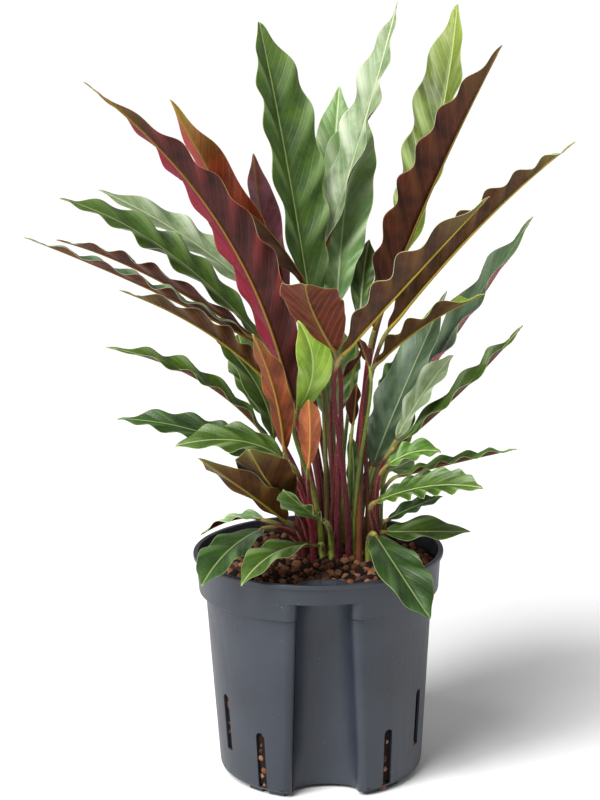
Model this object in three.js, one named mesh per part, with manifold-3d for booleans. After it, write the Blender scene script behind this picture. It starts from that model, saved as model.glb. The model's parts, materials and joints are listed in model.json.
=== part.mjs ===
// A potted calathea: a clump of wavy lance-shaped leaves on long stalks, rooted in clay
// granules that fill a slotted culture pot with a gauge groove in its front.
// Millimetres, +Z up, +X to the right, the groove faces -Y. The origin is the middle of
// the circle that the pot's feet stand on.

import * as THREE from 'three';
import { mergeVertices } from 'three/addons/utils/BufferGeometryUtils.js';
import Module from 'manifold-3d';

const wasm = await Module();
wasm.setup();

const degree = Math.PI / 180;
const simplifyReach = 0.02;

// Pot: driving dimensions
const potHeight = 200;
const footHeight = 3;
const wall = 2;
const floorThickness = 2.5;
const rimRadius = 110;
const beadHeight = 4;
const bandTopRadius = 107.5;
const bandFootRadius = 105.5;
const bandFootZ = 166.5;
const bridgeFootZ = 182;
const stepFootRadius = 99.7;
const stepFootZ = 163.5;
const baseRadius = 90;
const baseCorner = 5;
const potSides = 34;

// Groove for the water gauge, and its turn about Z from straight ahead
const potTurn = 2 * degree;
const grooveDepth = 32;
const grooveHalfTop = 22.6;
const grooveHalfBase = 28;
const shoulderRadius = 8;
const troughRimGap = 7;
const grooveReach = 1.25;
const bridgeRadius = 106.6;
const mouthInset = 0.5;
const shoulderSteps = 3;
const bowlSteps = 4;

// Slots: angles are measured from the groove
const slotWidth = 8.8;
const slotHeight = 51.5;
const slotStart = 36.7 * degree;
const slotPitch = 26.2 * degree;
const slotPairs = 6;
const lowSlotZ = 6.5;
const highSlotZ = 31;
const slotArcSteps = 4;

// Feet: short arcs under the floor
const footInner = 78;
const footOuter = 84.5;
const footSpan = 10 * degree;
const footCentres = [30, 45, 90, 105, 150, 165];
const centrePadRadius = 9;
const centrePadSides = 12;

// Granules: a bumpy surface over the filling of the pot
const fillGap = 0.6;
const fillLevel = 188;
const moundHeight = 8;
const moundCentre = new THREE.Vector2(20, 24);
const moundRadius = 62;
const granulePitch = 18;
const granuleRise = 2.4;
const granuleDip = 2.2;
const granuleJitter = 2.6;

// Stems: how deep they stand and how clear their holes are
const stemDepth = 9;
const stemStub = 3.5;
const holeGap = 0.45;

// Blades
const bladeThickness = 1;
const stemBase = 1.35;
const stemPerHalfWidth = 0.042;
const stemTaper = 0.72;
const longStem = 130;
const stemRise = 0.45;
const collarReach = 0.16;
const tipHalfWidth = 0.8;
const waveReach = 0.6;
const broadBlade = 21;
const longWaves = 6;

const finishes = {
  green: new THREE.MeshStandardMaterial({ color: 0x3f6b34, roughness: 0.5, metalness: 0 }),
  pale: new THREE.MeshStandardMaterial({ color: 0x7fa56a, roughness: 0.5, metalness: 0 }),
  maroon: new THREE.MeshStandardMaterial({ color: 0x5c2a1a, roughness: 0.6, metalness: 0 }),
  amber: new THREE.MeshStandardMaterial({ color: 0x9a5a2c, roughness: 0.6, metalness: 0 }),
};
const potFinish = new THREE.MeshStandardMaterial({ color: 0x5f646b, roughness: 0.55, metalness: 0 });
const clayFinish = new THREE.MeshStandardMaterial({ color: 0x8a5a41, roughness: 0.95, metalness: 0 });

// Every leaf: number, root (x, y) in the granules, collar where the stalk meets the blade,
// middle and tip of the midrib, [half width, taper at base, taper at tip], fold of each half
// upward in degrees, [roll at base, roll at tip] in degrees, [waves along a margin, height
// of a wave], finish
const leafRows = [
  [1, [0, 12], [-21, -37, 340], [-76, -75, 497], [-180, -125, 621],
    [27, 0.72, 1.2], 24, [30, 22], [8, 3.6], 'maroon'],
  [2, [4, 20], [-27, -8, 393], [-66, -30, 494], [-116, -66, 601],
    [22, 0.72, 0.75], 20, [30, 20], [4, 3], 'maroon'],
  [3, [8, 28], [-24, 14, 385], [-41, 0, 475], [-50, -30, 552],
    [16, 0.72, 0.7], 20, [0, 0], [3, 2], 'maroon'],
  [4, [4, 36], [-34, 14, 380], [-64, 6, 448], [-94, -10, 499],
    [13, 0.72, 0.9], 20, [20, 10], [3, 2.4], 'maroon'],
  [5, [16, 28], [-1, 20, 392], [-23, 68, 533], [-46, 126, 651],
    [33, 0.72, 0.6], 24, [20, 20], [6, 3.5], 'green'],
  [6, [13, 37], [-8, 53, 403], [46, 81, 563], [76, 86, 669],
    [21, 1.2, 1.3], 24, [0, 24], [6, 4], 'green'],
  [7, [16, 44], [14, 76, 408], [19, 116, 510], [26, 156, 590],
    [20, 0.72, 0.7], 14, [0, 0], [4, 2.6], 'pale'],
  [8, [24, 28], [20, 48, 408], [29, 92, 491], [45, 126, 576],
    [27, 0.72, 0.6], 14, [0, 0], [5, 4], 'pale'],
  [9, [32, 28], [63, 50, 412], [107, 76, 540], [130, 108, 665],
    [27, 0.72, 0.58], 26, [0, 6], [6, 4.4], 'green'],
  [10, [37, 8], [51, 2, 395], [97, -30, 517], [153, -70, 641],
    [27, 0.72, 0.75], 42, [-5, -5], [8, 4], 'maroon'],
  [11, [36, -6], [62, -22, 399], [136, -66, 494], [206, -124, 568],
    [21, 0.72, 1.1], 40, [0, 0], [8, 4], 'maroon'],
  [12, [27, -5], [22, -74, 389], [76, -108, 456], [136, -154, 530],
    [21, 0.72, 0.8], 40, [0, 0], [5, 4.4], 'maroon'],
  [13, [44, 28], [78, 26, 327], [132, 24, 400], [188, 14, 489],
    [28, 0.72, 0.85], 16, [12, 14], [4, 4.2], 'green'],
  [14, [45, 4], [51, -50, 376], [90, -78, 414], [136, -112, 445],
    [18, 0.72, 0.75], 22, [0, 0], [4, 4], 'maroon'],
  [15, [37, 20], [49, 4, 273], [72, -4, 334], [114, 10, 426],
    [24, 0.72, 0.75], 12, [40, 30], [4, 3], 'green'],
  [16, [44, 20], [68, -30, 305], [91, -38, 347], [116, -40, 380],
    [18, 0.72, 0.6], 12, [30, 30], [3, 2.6], 'pale'],
  [17, [48, 12], [66, -46, 302], [125, -58, 357], [172, -66, 410],
    [14, 0.72, 0.9], 20, [10, 20], [4, 3.4], 'green'],
  [18, [53, 5], [60, -57, 290], [82, -63, 302], [104, -65, 302],
    [13, 0.72, 0.7], 14, [30, 20], [3, 3], 'green'],
  [19, [56, 28], [65, 24, 264], [74, 30, 266], [87, 38, 271],
    [12, 0.72, 0.7], 10, [30, 30], [2, 2], 'pale'],
  [20, [52, 20], [70, -20, 270], [118, -26, 283], [171, -30, 295],
    [12, 0.72, 0.9], 20, [0, 0], [5, 2.6], 'green'],
  [21, [52, -3], [49, -52, 256], [94, -78, 276], [136, -102, 280],
    [19, 0.72, 0.7], 12, [25, 20], [7, 3.4], 'green'],
  [22, [60, 20], [61, -6, 227], [85, -8, 239], [109, -6, 247],
    [11, 0.72, 0.7], 12, [20, 10], [3, 2], 'green'],
  [23, [59, 12], [58, -14, 218], [93, -22, 220], [132, -24, 220],
    [18, 0.72, 0.75], 12, [20, 10], [2, 2.4], 'green'],
  [24, [44, -4], [49, -42, 223], [68, -92, 204], [91, -122, 174],
    [23, 0.72, 0.7], 14, [0, 0], [3, 2.4], 'green'],
  [25, [-16, 12], [-49, -20, 224], [-77, -72, 220], [-98, -112, 202],
    [20, 0.72, 0.7], 12, [0, 0], [3, 2.2], 'green'],
  [26, [4, -4], [0, -28, 211], [-37, -80, 220], [-65, -118, 204],
    [18, 0.72, 0.75], 12, [0, 0], [3, 2.4], 'green'],
  [27, [-19, 28], [-49, 14, 223], [-74, 28, 220], [-105, 40, 202],
    [15, 0.72, 0.7], 10, [0, 0], [3, 2], 'pale'],
  [28, [-8, 12], [-26, -34, 250], [-42, -84, 284], [-56, -130, 323],
    [24, 0.72, 0.6], 20, [10, 10], [3, 2.6], 'maroon'],
  [29, [-12, 4], [-28, -34, 235], [-59, -84, 275], [-98, -124, 315],
    [19, 0.72, 0.75], 20, [15, 15], [3, 2.6], 'maroon'],
  [30, [-8, 20], [-24, -26, 284], [-66, -32, 306], [-121, -38, 304],
    [22, 0.72, 0.7], 10, [-15, -20], [4, 3], 'green'],
  [31, [-12, 36], [-28, 24, 265], [-102, 30, 299], [-176, 36, 311],
    [19, 0.72, 0.8], 12, [-20, -20], [5, 3.2], 'green'],
  [32, [-16, 20], [-41, 2, 298], [-100, -12, 356], [-179, -24, 388],
    [15, 0.72, 0.8], 20, [-10, -15], [5, 3.2], 'green'],
  [33, [-12, 28], [-38, 12, 296], [-52, 22, 343], [-90, 36, 387],
    [16, 0.72, 0.75], 12, [-20, -20], [3, 2.6], 'green'],
  [34, [-4, 28], [-44, -22, 359], [-97, -50, 409], [-161, -80, 447],
    [17, 0.72, 0.8], 24, [20, 10], [5, 3.2], 'maroon'],
  [35, [-4, 36], [-46, -4, 384], [-140, -24, 438], [-242, -40, 486],
    [12, 0.72, 0.9], 30, [0, 0], [7, 3], 'maroon'],
  [36, [-9, 44], [-50, 8, 386], [-141, 2, 445], [-219, -6, 478],
    [15, 0.72, 0.85], 25, [15, 15], [6, 3], 'maroon'],
  [37, [-3, 43], [-44, 22, 379], [-129, 20, 464], [-217, 12, 511],
    [23, 0.72, 0.8], 14, [-20, -20], [6, 4], 'green'],
  [38, [4, 50], [-35, 56, 403], [-109, 70, 464], [-190, 80, 509],
    [20, 0.72, 0.75], 14, [-20, -20], [5, 3], 'pale'],
  [39, [8, 12], [-8, -12, 438], [-35, -47, 485], [-58, -68, 511],
    [14, 0.72, 0.6], 30, [120, 150], [3, 3], 'green'],
  [40, [17, -4], [16, -68, 390], [-3, -122, 436], [-8, -164, 464],
    [26, 0.72, 0.6], 16, [0, 0], [4, 2], 'maroon'],
  [41, [12, 4], [10, -35, 381], [-11, -37, 403], [-18, -40, 424],
    [13, 0.72, 0.7], 16, [0, 0], [2, 2], 'amber'],
  [42, [3, 4], [-17, -62, 339], [-3, -67, 378], [-15, -66, 417],
    [16.5, 0.72, 0.6], 12, [180, 180], [2, 2], 'pale'],
  [43, [-5, 4], [-8, -52, 287], [-6, -66, 319], [-7, -78, 352],
    [11, 0.72, 0.5], 30, [0, 0], [2, 1.2], 'amber'],
  [44, [-4, -4], [-28, -62, 304], [-35, -86, 361], [-52, -112, 415],
    [13, 0.72, 0.7], 20, [0, 0], [3, 2.4], 'amber'],
  [45, [28, 20], [30, 20, 226], [32, 22, 265], [29, 22, 298],
    [8, 0.72, 0.7], 20, [0, 0], [3, 1.6], 'green'],
  [46, [12, -4], [4, -48, 239], [-15, -78, 262], [-29, -92, 279],
    [17, 0.72, 0.7], 12, [180, 180], [4, 3], 'green'],
  [47, [16, 12], [22, -8, 355], [33, -14, 367], [43, -16, 385],
    [11, 0.72, 0.7], 16, [0, 0], [2, 2], 'green'],
  [48, [31, -1], [44, -66, 378], [40, -71, 390], [35, -76, 403],
    [7, 0.72, 0.7], 20, [0, 0], [2, 1.6], 'green'],
  [49, [27, 12], [31, -12, 314], [33, -14, 332], [35, -16, 352],
    [8, 0.72, 0.6], 16, [0, 0], [2, 1.6], 'pale'],
  [50, [20, 36], [40, 52, 394], [44, 74, 430], [50, 92, 459],
    [11, 0.72, 0.7], 16, [0, 0], [3, 2], 'green'],
  [51, [18, 52], [13, 84, 296], [19, 125, 333], [25, 180, 360],
    [24, 0.72, 0.75], 14, [0, 0], [5, 3.4], 'green'],
  [52, [32, 44], [67, 74, 297], [82, 112, 326], [98, 150, 351],
    [22, 0.72, 0.75], 14, [0, 0], [5, 3.2], 'green'],
  [53, [-4, 51], [-42, 84, 297], [-60, 120, 336], [-71, 160, 361],
    [22, 0.72, 0.75], 14, [0, 0], [5, 3.2], 'green'],
  [54, [44, 36], [62, 64, 253], [73, 90, 284], [82, 120, 315],
    [18, 0.72, 0.75], 14, [0, 0], [4, 3], 'green'],
];

// Geometry helpers

function signedVolume(positions, faces) {
  const [a, b, c] = [new THREE.Vector3(), new THREE.Vector3(), new THREE.Vector3()];
  let volume = 0;
  for (let i = 0; i < faces.length; i += 3) {
    a.fromArray(positions, faces[i] * 3);
    b.fromArray(positions, faces[i + 1] * 3);
    c.fromArray(positions, faces[i + 2] * 3);
    volume += a.dot(b.cross(c)) / 6;
  }
  return volume;
}

function facesOutward(positions, faces) {
  if (signedVolume(positions, faces) > 0) {
    return faces;
  }
  const turned = faces.slice();
  for (let i = 0; i < turned.length; i += 3) {
    [turned[i], turned[i + 1]] = [turned[i + 1], turned[i]];
  }
  return turned;
}

function geometryOf(positions, faces) {
  const geometry = new THREE.BufferGeometry();
  geometry.setAttribute('position', new THREE.Float32BufferAttribute(positions, 3));
  geometry.setIndex([...facesOutward(positions, faces)]);
  return geometry;
}

function solidOf(source) {
  const bare = source.clone();
  bare.deleteAttribute('normal');
  bare.deleteAttribute('uv');
  const merged = mergeVertices(bare, 1e-4);
  const index = merged.index.array;
  const kept = [];
  for (let i = 0; i < index.length; i += 3) {
    const [a, b, c] = [index[i], index[i + 1], index[i + 2]];
    if (a !== b && b !== c && a !== c) {
      kept.push(a, b, c);
    }
  }
  const positions = merged.attributes.position.array;
  const faces = facesOutward(positions, kept);
  return new wasm.Manifold(new wasm.Mesh({
    numProp: 3,
    vertProperties: new Float32Array(positions),
    triVerts: new Uint32Array(faces),
  }));
}

function geometryFrom(solid) {
  const mesh = solid.getMesh();
  return geometryOf(Array.from(mesh.vertProperties), Array.from(mesh.triVerts));
}

// A solid turned about Z from a profile of [radius, height] corners, closed on the axis
function turned(profile) {
  const outline = profile.map(([radius, height]) => new THREE.Vector2(radius, height));
  return solidOf(new THREE.LatheGeometry(outline, potSides).rotateX(Math.PI / 2));
}

// A solid between two outlines of equally many points, the lower one first
function lofted(lowerOutline, lowerZ, upperOutline, upperZ) {
  const clockwise = THREE.ShapeUtils.isClockWise(lowerOutline);
  const lower = clockwise ? lowerOutline.slice().reverse() : lowerOutline;
  const upper = clockwise ? upperOutline.slice().reverse() : upperOutline;
  const count = lower.length;
  const positions = [];
  lower.forEach((point) => positions.push(point.x, point.y, lowerZ));
  upper.forEach((point) => positions.push(point.x, point.y, upperZ));
  const faces = [];
  for (let i = 0; i < count; i += 1) {
    const next = (i + 1) % count;
    faces.push(i, next, count + next, i, count + next, count + i);
  }
  for (const [a, b, c] of THREE.ShapeUtils.triangulateShape(lower, [])) {
    faces.push(a, c, b, count + a, count + b, count + c);
  }
  return solidOf(geometryOf(positions, faces));
}

// Pot

const baseZ = footHeight;
const bandInnerFoot = bandFootRadius - wall;
const bandInnerTop = bandTopRadius - wall;

function outerBody() {
  return turned([
    [0, baseZ],
    [baseRadius - baseCorner, baseZ],
    [baseRadius - baseCorner * 0.3, baseZ + baseCorner * 0.3],
    [baseRadius, baseZ + baseCorner],
    [stepFootRadius, stepFootZ],
    [bandFootRadius, bandFootZ],
    [bandTopRadius, potHeight - beadHeight],
    [rimRadius, potHeight - beadHeight],
    [rimRadius, potHeight],
    [0, potHeight],
  ]);
}

function cavityBody(gap, top) {
  const floorZ = baseZ + floorThickness + gap;
  const edge = wall + gap;
  return turned([
    [0, floorZ],
    [baseRadius - baseCorner, floorZ],
    [baseRadius - edge, baseZ + baseCorner + gap],
    [stepFootRadius - edge, stepFootZ + edge],
    [bandInnerFoot - gap, bandFootZ + edge],
    [bandInnerTop - gap, top],
    [0, top],
  ]);
}

// The groove's outline at a height, pushed into the wall by an offset. Its mouth, at the pot
// radius given, is rounded off by shoulders, or goes straight out where no radius is given
function grooveOutline(z, offset, mouthRadius) {
  const share = z / stepFootZ;
  const halfWidth = THREE.MathUtils.lerp(grooveHalfBase, grooveHalfTop, share);
  const wallRadius = THREE.MathUtils.lerp(baseRadius, stepFootRadius, share);
  const centreX = halfWidth + shoulderRadius;
  const centreYAt = (radius) => -Math.sqrt((radius - shoulderRadius) ** 2 - centreX ** 2);
  const bowlY = centreYAt(wallRadius);
  const across = halfWidth + offset;
  const half = [];
  if (mouthRadius) {
    const centre = new THREE.Vector2(centreX, centreYAt(mouthRadius));
    const start = Math.atan2(centre.y, centre.x) + 0.5 * offset * degree;
    const arc = shoulderRadius - offset;
    const mouth = new THREE.Vector2(Math.cos(start), Math.sin(start));
    half.push(mouth.multiplyScalar(mouthRadius * grooveReach));
    for (let i = 0; i <= shoulderSteps; i += 1) {
      const angle = start + (-Math.PI - start) * (i / shoulderSteps);
      half.push(new THREE.Vector2(Math.cos(angle), Math.sin(angle)).multiplyScalar(arc).add(centre));
    }
  } else {
    half.push(new THREE.Vector2(across, -wallRadius * grooveReach));
  }
  half.push(new THREE.Vector2(across, bowlY + mouthInset));
  const bottom = grooveDepth - (wallRadius + bowlY) + offset - mouthInset;
  for (let i = 1; i <= bowlSteps; i += 1) {
    const angle = (Math.PI / 2) * (i / bowlSteps);
    const y = bowlY + mouthInset + Math.sin(angle) * bottom;
    half.push(new THREE.Vector2(Math.cos(angle) * across, y));
  }
  const mirrored = half.slice(0, -1).reverse().map((point) => new THREE.Vector2(-point.x, point.y));
  const middle = new THREE.Vector2();
  return [...half, ...mirrored].map((point) => point.rotateAround(middle, potTurn));
}

// The groove pushed into the wall by an offset: shouldered up the wall, out over the step and
// up to the bridging band, and straight behind that band
function grooveBody(offset, fromZ, toZ) {
  const fromRadius = THREE.MathUtils.lerp(baseRadius, stepFootRadius, fromZ / stepFootZ);
  const levels = [
    [fromZ, fromRadius],
    [stepFootZ + offset, stepFootRadius],
    [bandFootZ + offset, bandFootRadius],
    [bridgeFootZ + offset, bridgeRadius],
  ];
  const behind = bridgeFootZ - 1;
  let solid = lofted(grooveOutline(behind, offset), behind, grooveOutline(toZ, offset), toZ);
  for (let i = 0; i + 1 < levels.length; i += 1) {
    const [[lowZ, lowRadius], [highZ, highRadius]] = [levels[i], levels[i + 1]];
    const low = grooveOutline(lowZ, offset, lowRadius);
    const high = grooveOutline(highZ, offset, highRadius);
    solid = solid.add(lofted(low, lowZ, high, highZ));
  }
  return solid;
}

function slotBody(angle, bottomZ) {
  const half = slotWidth / 2;
  const shape = new THREE.Shape();
  shape.moveTo(-half, bottomZ);
  shape.lineTo(half, bottomZ);
  shape.absarc(0, bottomZ + slotHeight - half, half, 0, Math.PI, false);
  const reach = 30;
  const geometry = new THREE.ExtrudeGeometry(shape, {
    depth: reach,
    bevelEnabled: false,
    curveSegments: slotArcSteps,
  });
  geometry.rotateX(Math.PI / 2);
  geometry.translate(0, -stepFootRadius + reach / 2, 0);
  geometry.rotateZ(angle + potTurn);
  return solidOf(geometry);
}

function footBody(angle) {
  const steps = 2;
  const outline = [];
  for (let i = 0; i <= steps; i += 1) {
    const turn = angle + footSpan * (i / steps - 0.5) + potTurn;
    outline.push(new THREE.Vector2(Math.sin(turn), -Math.cos(turn)).multiplyScalar(footOuter));
  }
  for (let i = steps; i >= 0; i -= 1) {
    const turn = angle + footSpan * (i / steps - 0.5) + potTurn;
    outline.push(new THREE.Vector2(Math.sin(turn), -Math.cos(turn)).multiplyScalar(footInner));
  }
  return lofted(outline, 0, outline, baseZ + floorThickness / 2);
}

// A low round pad under the middle of the floor
function centrePad() {
  const outline = [];
  for (let side = 0; side < centrePadSides; side += 1) {
    const turn = (2 * Math.PI * side) / centrePadSides;
    outline.push(new THREE.Vector2(Math.cos(turn), Math.sin(turn)).multiplyScalar(centrePadRadius));
  }
  return lofted(outline, 0, outline, baseZ + floorThickness / 2);
}

function pot() {
  const above = potHeight + 5;
  const outer = outerBody();
  let solid = outer.subtract(cavityBody(0, above));
  const groove = grooveBody(0, -1, above);
  const trough = grooveBody(wall, baseZ, potHeight - troughRimGap).intersect(outer);
  const bridge = turned([[0, bridgeFootZ], [rimRadius, bridgeFootZ], [rimRadius, above],
    [0, above]]);
  solid = solid.subtract(groove.subtract(bridge)).add(trough.subtract(groove));
  for (let pair = 1; pair <= slotPairs; pair += 1) {
    const angle = slotStart + (pair - 1) * slotPitch;
    const bottomZ = pair % 2 === 1 ? lowSlotZ : highSlotZ;
    solid = solid.subtract(slotBody(angle, bottomZ)).subtract(slotBody(-angle, bottomZ));
  }
  for (const centre of footCentres) {
    solid = solid.add(footBody(centre * degree)).add(footBody(-centre * degree));
  }
  solid = solid.add(centrePad());
  return geometryFrom(solid.simplify(simplifyReach));
}

// Granules

// A repeatable random number from 0 to 1 for a pair of whole numbers
function chance(i, j) {
  const value = Math.sin(i * 127.1 + j * 311.7) * 43758.5453;
  return value - Math.floor(value);
}

function levelAt(x, y) {
  const reach = Math.min(1, Math.hypot(x - moundCentre.x, y - moundCentre.y) / moundRadius);
  return fillLevel + moundHeight * (0.5 + 0.5 * Math.cos(Math.PI * reach));
}

// A slab whose top is a field of six-sided bumps, one for each granule
function granuleSlab() {
  const rows = Math.ceil(rimRadius / (granulePitch * Math.sqrt(0.75)));
  const columns = Math.ceil(rimRadius / granulePitch) + 1;
  const cornerReach = granulePitch / Math.sqrt(3);
  const positions = [];
  const faces = [];
  const slabDepth = fillLevel;
  const addPoint = (x, y, z) => {
    positions.push(x, y, z);
    return positions.length / 3 - 1;
  };
  for (let row = -rows; row <= rows; row += 1) {
    for (let column = -columns; column <= columns; column += 1) {
      const x = (column + (row % 2 === 0 ? 0 : 0.5)) * granulePitch;
      const y = row * granulePitch * Math.sqrt(0.75);
      const lift = granuleRise + (chance(row, column) - 0.5) * granuleJitter;
      const top = addPoint(x, y, levelAt(x, y) + lift);
      const foot = addPoint(x, y, -slabDepth);
      const corners = [];
      for (let side = 0; side < 6; side += 1) {
        const angle = (side + 0.5) * (Math.PI / 3);
        const cornerX = x + cornerReach * Math.cos(angle);
        const cornerY = y + cornerReach * Math.sin(angle);
        const z = levelAt(cornerX, cornerY) - granuleDip;
        corners.push([addPoint(cornerX, cornerY, z), addPoint(cornerX, cornerY, -slabDepth)]);
      }
      for (let side = 0; side < 6; side += 1) {
        const [upper, lower] = corners[side];
        const [nextUpper, nextLower] = corners[(side + 1) % 6];
        faces.push(top, upper, nextUpper, foot, nextLower, lower);
      }
    }
  }
  return closedSlab(positions, faces);
}

// Shared corners are merged and the open rim of the slab is walled in
function closedSlab(positions, faces) {
  const loose = new THREE.BufferGeometry();
  loose.setAttribute('position', new THREE.Float32BufferAttribute(positions, 3));
  loose.setIndex(faces);
  const merged = mergeVertices(loose, 0.01);
  const points = merged.attributes.position;
  const index = Array.from(merged.index.array);
  const edges = new Set();
  for (let i = 0; i < index.length; i += 3) {
    for (let k = 0; k < 3; k += 1) {
      edges.add(`${index[i + k]},${index[i + ((k + 1) % 3)]}`);
    }
  }
  const lowest = new Map();
  for (let i = 0; i < points.count; i += 1) {
    if (points.getZ(i) < 0) {
      lowest.set(`${points.getX(i).toFixed(2)},${points.getY(i).toFixed(2)}`, i);
    }
  }
  const below = (i) => lowest.get(`${points.getX(i).toFixed(2)},${points.getY(i).toFixed(2)}`);
  for (const edge of edges) {
    const [a, b] = edge.split(',').map(Number);
    if (points.getZ(a) > 0 && !edges.has(`${b},${a}`)) {
      index.push(b, a, below(a), b, below(a), below(b));
    }
  }
  return solidOf(geometryOf(Array.from(points.array), index));
}

function granules(stemHoles) {
  let solid = cavityBody(fillGap, potHeight + 5).intersect(granuleSlab());
  solid = solid.subtract(grooveBody(wall + fillGap, -1, potHeight + 5));
  for (const hole of stemHoles) {
    solid = solid.subtract(hole);
  }
  return geometryFrom(solid.simplify(simplifyReach));
}

// Leaves

function leafOf(row) {
  const [number, root, collar, middle, tip, width, fold, roll, wave, finish] = row;
  const [halfWidth, baseTaper, tipTaper] = width;
  const [waves, waveHeight] = wave;
  const [a, b, c] = [collar, middle, tip].map((point) => new THREE.Vector3(...point));
  const lean = new THREE.Vector3(c.x - a.x, c.y - a.y, 0).normalize();
  return {
    name: `leaf_${String(number).padStart(2, '0')}`,
    finish,
    halfWidth,
    baseTaper,
    tipTaper,
    waves,
    waveHeight,
    fold: fold * degree,
    roll: roll.map((angle) => angle * degree),
    root: new THREE.Vector3(root[0], root[1], levelAt(...root)),
    collar: a,
    middle: b,
    tip: c,
    side: new THREE.Vector3(-lean.y, lean.x, 0),
    stemRadius: stemBase + stemPerHalfWidth * halfWidth,
  };
}

// Midrib: the curve through collar, middle and tip
function midribAt(leaf, t) {
  return new THREE.Vector3()
    .addScaledVector(leaf.collar, (1 - t) * (1 - 2 * t))
    .addScaledVector(leaf.middle, 4 * t * (1 - t))
    .addScaledVector(leaf.tip, t * (2 * t - 1));
}

function midribDirection(leaf, t) {
  return new THREE.Vector3()
    .addScaledVector(leaf.collar, 4 * t - 3)
    .addScaledVector(leaf.middle, 4 - 8 * t)
    .addScaledVector(leaf.tip, 4 * t - 1)
    .normalize();
}

// Axes across and out of the blade, square to its direction and rolled about it
function frameFor(leaf, direction, roll) {
  const across = leaf.side.clone().addScaledVector(direction, -leaf.side.dot(direction)).normalize();
  const out = new THREE.Vector3().crossVectors(direction, across);
  const side = across.clone().multiplyScalar(Math.cos(roll)).addScaledVector(out, Math.sin(roll));
  const face = out.multiplyScalar(Math.cos(roll)).addScaledVector(across, -Math.sin(roll));
  return { side, face };
}

// Six points round the stalk, in the order of the blade's six
function stemRing(leaf, centre, direction, radius) {
  const { side, face } = frameFor(leaf, direction, leaf.roll[0]);
  return [150, 90, 30, -30, -90, -150].map((angle) => centre.clone()
    .addScaledVector(side, radius * Math.cos(angle * degree))
    .addScaledVector(face, radius * Math.sin(angle * degree)));
}

function widthShare(leaf, t) {
  const peak = leaf.baseTaper / (leaf.baseTaper + leaf.tipTaper);
  const shape = (u) => u ** leaf.baseTaper * (1 - u) ** leaf.tipTaper;
  return shape(t) / shape(peak);
}

// Margin, midrib and margin on the upper face, then the same three on the lower face
function bladeRing(leaf, t) {
  const roll = THREE.MathUtils.lerp(leaf.roll[0], leaf.roll[1], t);
  const { side, face } = frameFor(leaf, midribDirection(leaf, t), roll);
  const centre = midribAt(leaf, t);
  const width = Math.max(tipHalfWidth, leaf.halfWidth * widthShare(leaf, t));
  const swell = Math.sin(Math.PI * t) ** waveReach;
  const wave = leaf.waveHeight * swell * Math.cos(2 * Math.PI * leaf.waves * t);
  const margin = (sign) => centre.clone()
    .addScaledVector(side, sign * width * Math.cos(leaf.fold))
    .addScaledVector(face, width * Math.sin(leaf.fold) + wave);
  const outward = (sign) => face.clone()
    .multiplyScalar(Math.cos(leaf.fold))
    .addScaledVector(side, -sign * Math.sin(leaf.fold));
  const half = bladeThickness / 2;
  const left = margin(-1);
  const right = margin(1);
  return [
    left.clone().addScaledVector(outward(-1), half),
    centre.clone().addScaledVector(face, half),
    right.clone().addScaledVector(outward(1), half),
    right.clone().addScaledVector(outward(1), -half),
    centre.clone().addScaledVector(face, -half),
    left.clone().addScaledVector(outward(-1), -half),
  ];
}

// Long waves of broad blades are drawn finer
function stationsPerWave(leaf) {
  if (leaf.halfWidth >= broadBlade && leaf.waves <= longWaves) {
    return 4;
  }
  return leaf.waves < longWaves ? 3 : 2;
}

function leafRings(leaf) {
  const up = new THREE.Vector3(0, 0, 1);
  const stubTop = leaf.root.clone().setZ(leaf.root.z + stemStub);
  const reach = stubTop.distanceTo(leaf.collar);
  const stalk = new THREE.CubicBezierCurve3(
    stubTop,
    stubTop.clone().addScaledVector(up, reach * stemRise),
    leaf.collar.clone().addScaledVector(midribDirection(leaf, 0), -reach * collarReach),
    leaf.collar,
  );
  const rings = [];
  const foot = leaf.root.clone().setZ(leaf.root.z - stemDepth);
  rings.push(stemRing(leaf, foot, up, leaf.stemRadius));
  const steps = reach > longStem ? 4 : 3;
  for (let i = 0; i <= steps; i += 1) {
    const share = i / steps;
    const radius = leaf.stemRadius * THREE.MathUtils.lerp(1, stemTaper, share);
    rings.push(stemRing(leaf, stalk.getPoint(share), stalk.getTangent(share), radius));
  }
  const stations = stationsPerWave(leaf) * leaf.waves;
  for (let i = 1; i <= stations; i += 1) {
    rings.push(bladeRing(leaf, i / stations));
  }
  return rings;
}

// Rings joined into a closed skin; both faces of the blade are split along like diagonals
function leafGeometry(leaf) {
  const rings = leafRings(leaf);
  const around = 6;
  const positions = [];
  rings.forEach((ring) => ring.forEach((point) => positions.push(point.x, point.y, point.z)));
  const faces = [];
  for (let i = 0; i + 1 < rings.length; i += 1) {
    const here = i * around;
    const next = here + around;
    const quad = (p, q, flip) => {
      if (flip) {
        faces.push(here + p, here + q, next + p, here + q, next + q, next + p);
      } else {
        faces.push(here + p, here + q, next + q, here + p, next + q, next + p);
      }
    };
    quad(0, 1, false);
    quad(1, 2, true);
    quad(2, 3, false);
    quad(3, 4, false);
    quad(4, 5, true);
    quad(5, 0, false);
  }
  const last = (rings.length - 1) * around;
  faces.push(0, 5, 1, 5, 4, 1, 4, 2, 1, 4, 3, 2);
  faces.push(last, last + 1, last + 5, last + 5, last + 1, last + 4);
  faces.push(last + 4, last + 1, last + 2, last + 4, last + 2, last + 3);
  return geometryOf(positions, faces);
}

// A square hole for a stem, from under its foot to above the granules
function stemHole(leaf) {
  const half = leaf.stemRadius + holeGap;
  const corners = [[-half, -half], [half, -half], [half, half], [-half, half]];
  const outline = corners.map(([x, y]) => new THREE.Vector2(leaf.root.x + x, leaf.root.y + y));
  const bottom = leaf.root.z - stemDepth - holeGap;
  return lofted(outline, bottom, outline, potHeight + 15);
}

// Assembly

const plant = new THREE.Group();
const leaves = leafRows.map(leafOf);

function place(name, geometry, material) {
  const mesh = new THREE.Mesh(geometry, material);
  mesh.name = name;
  plant.add(mesh);
}

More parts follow.
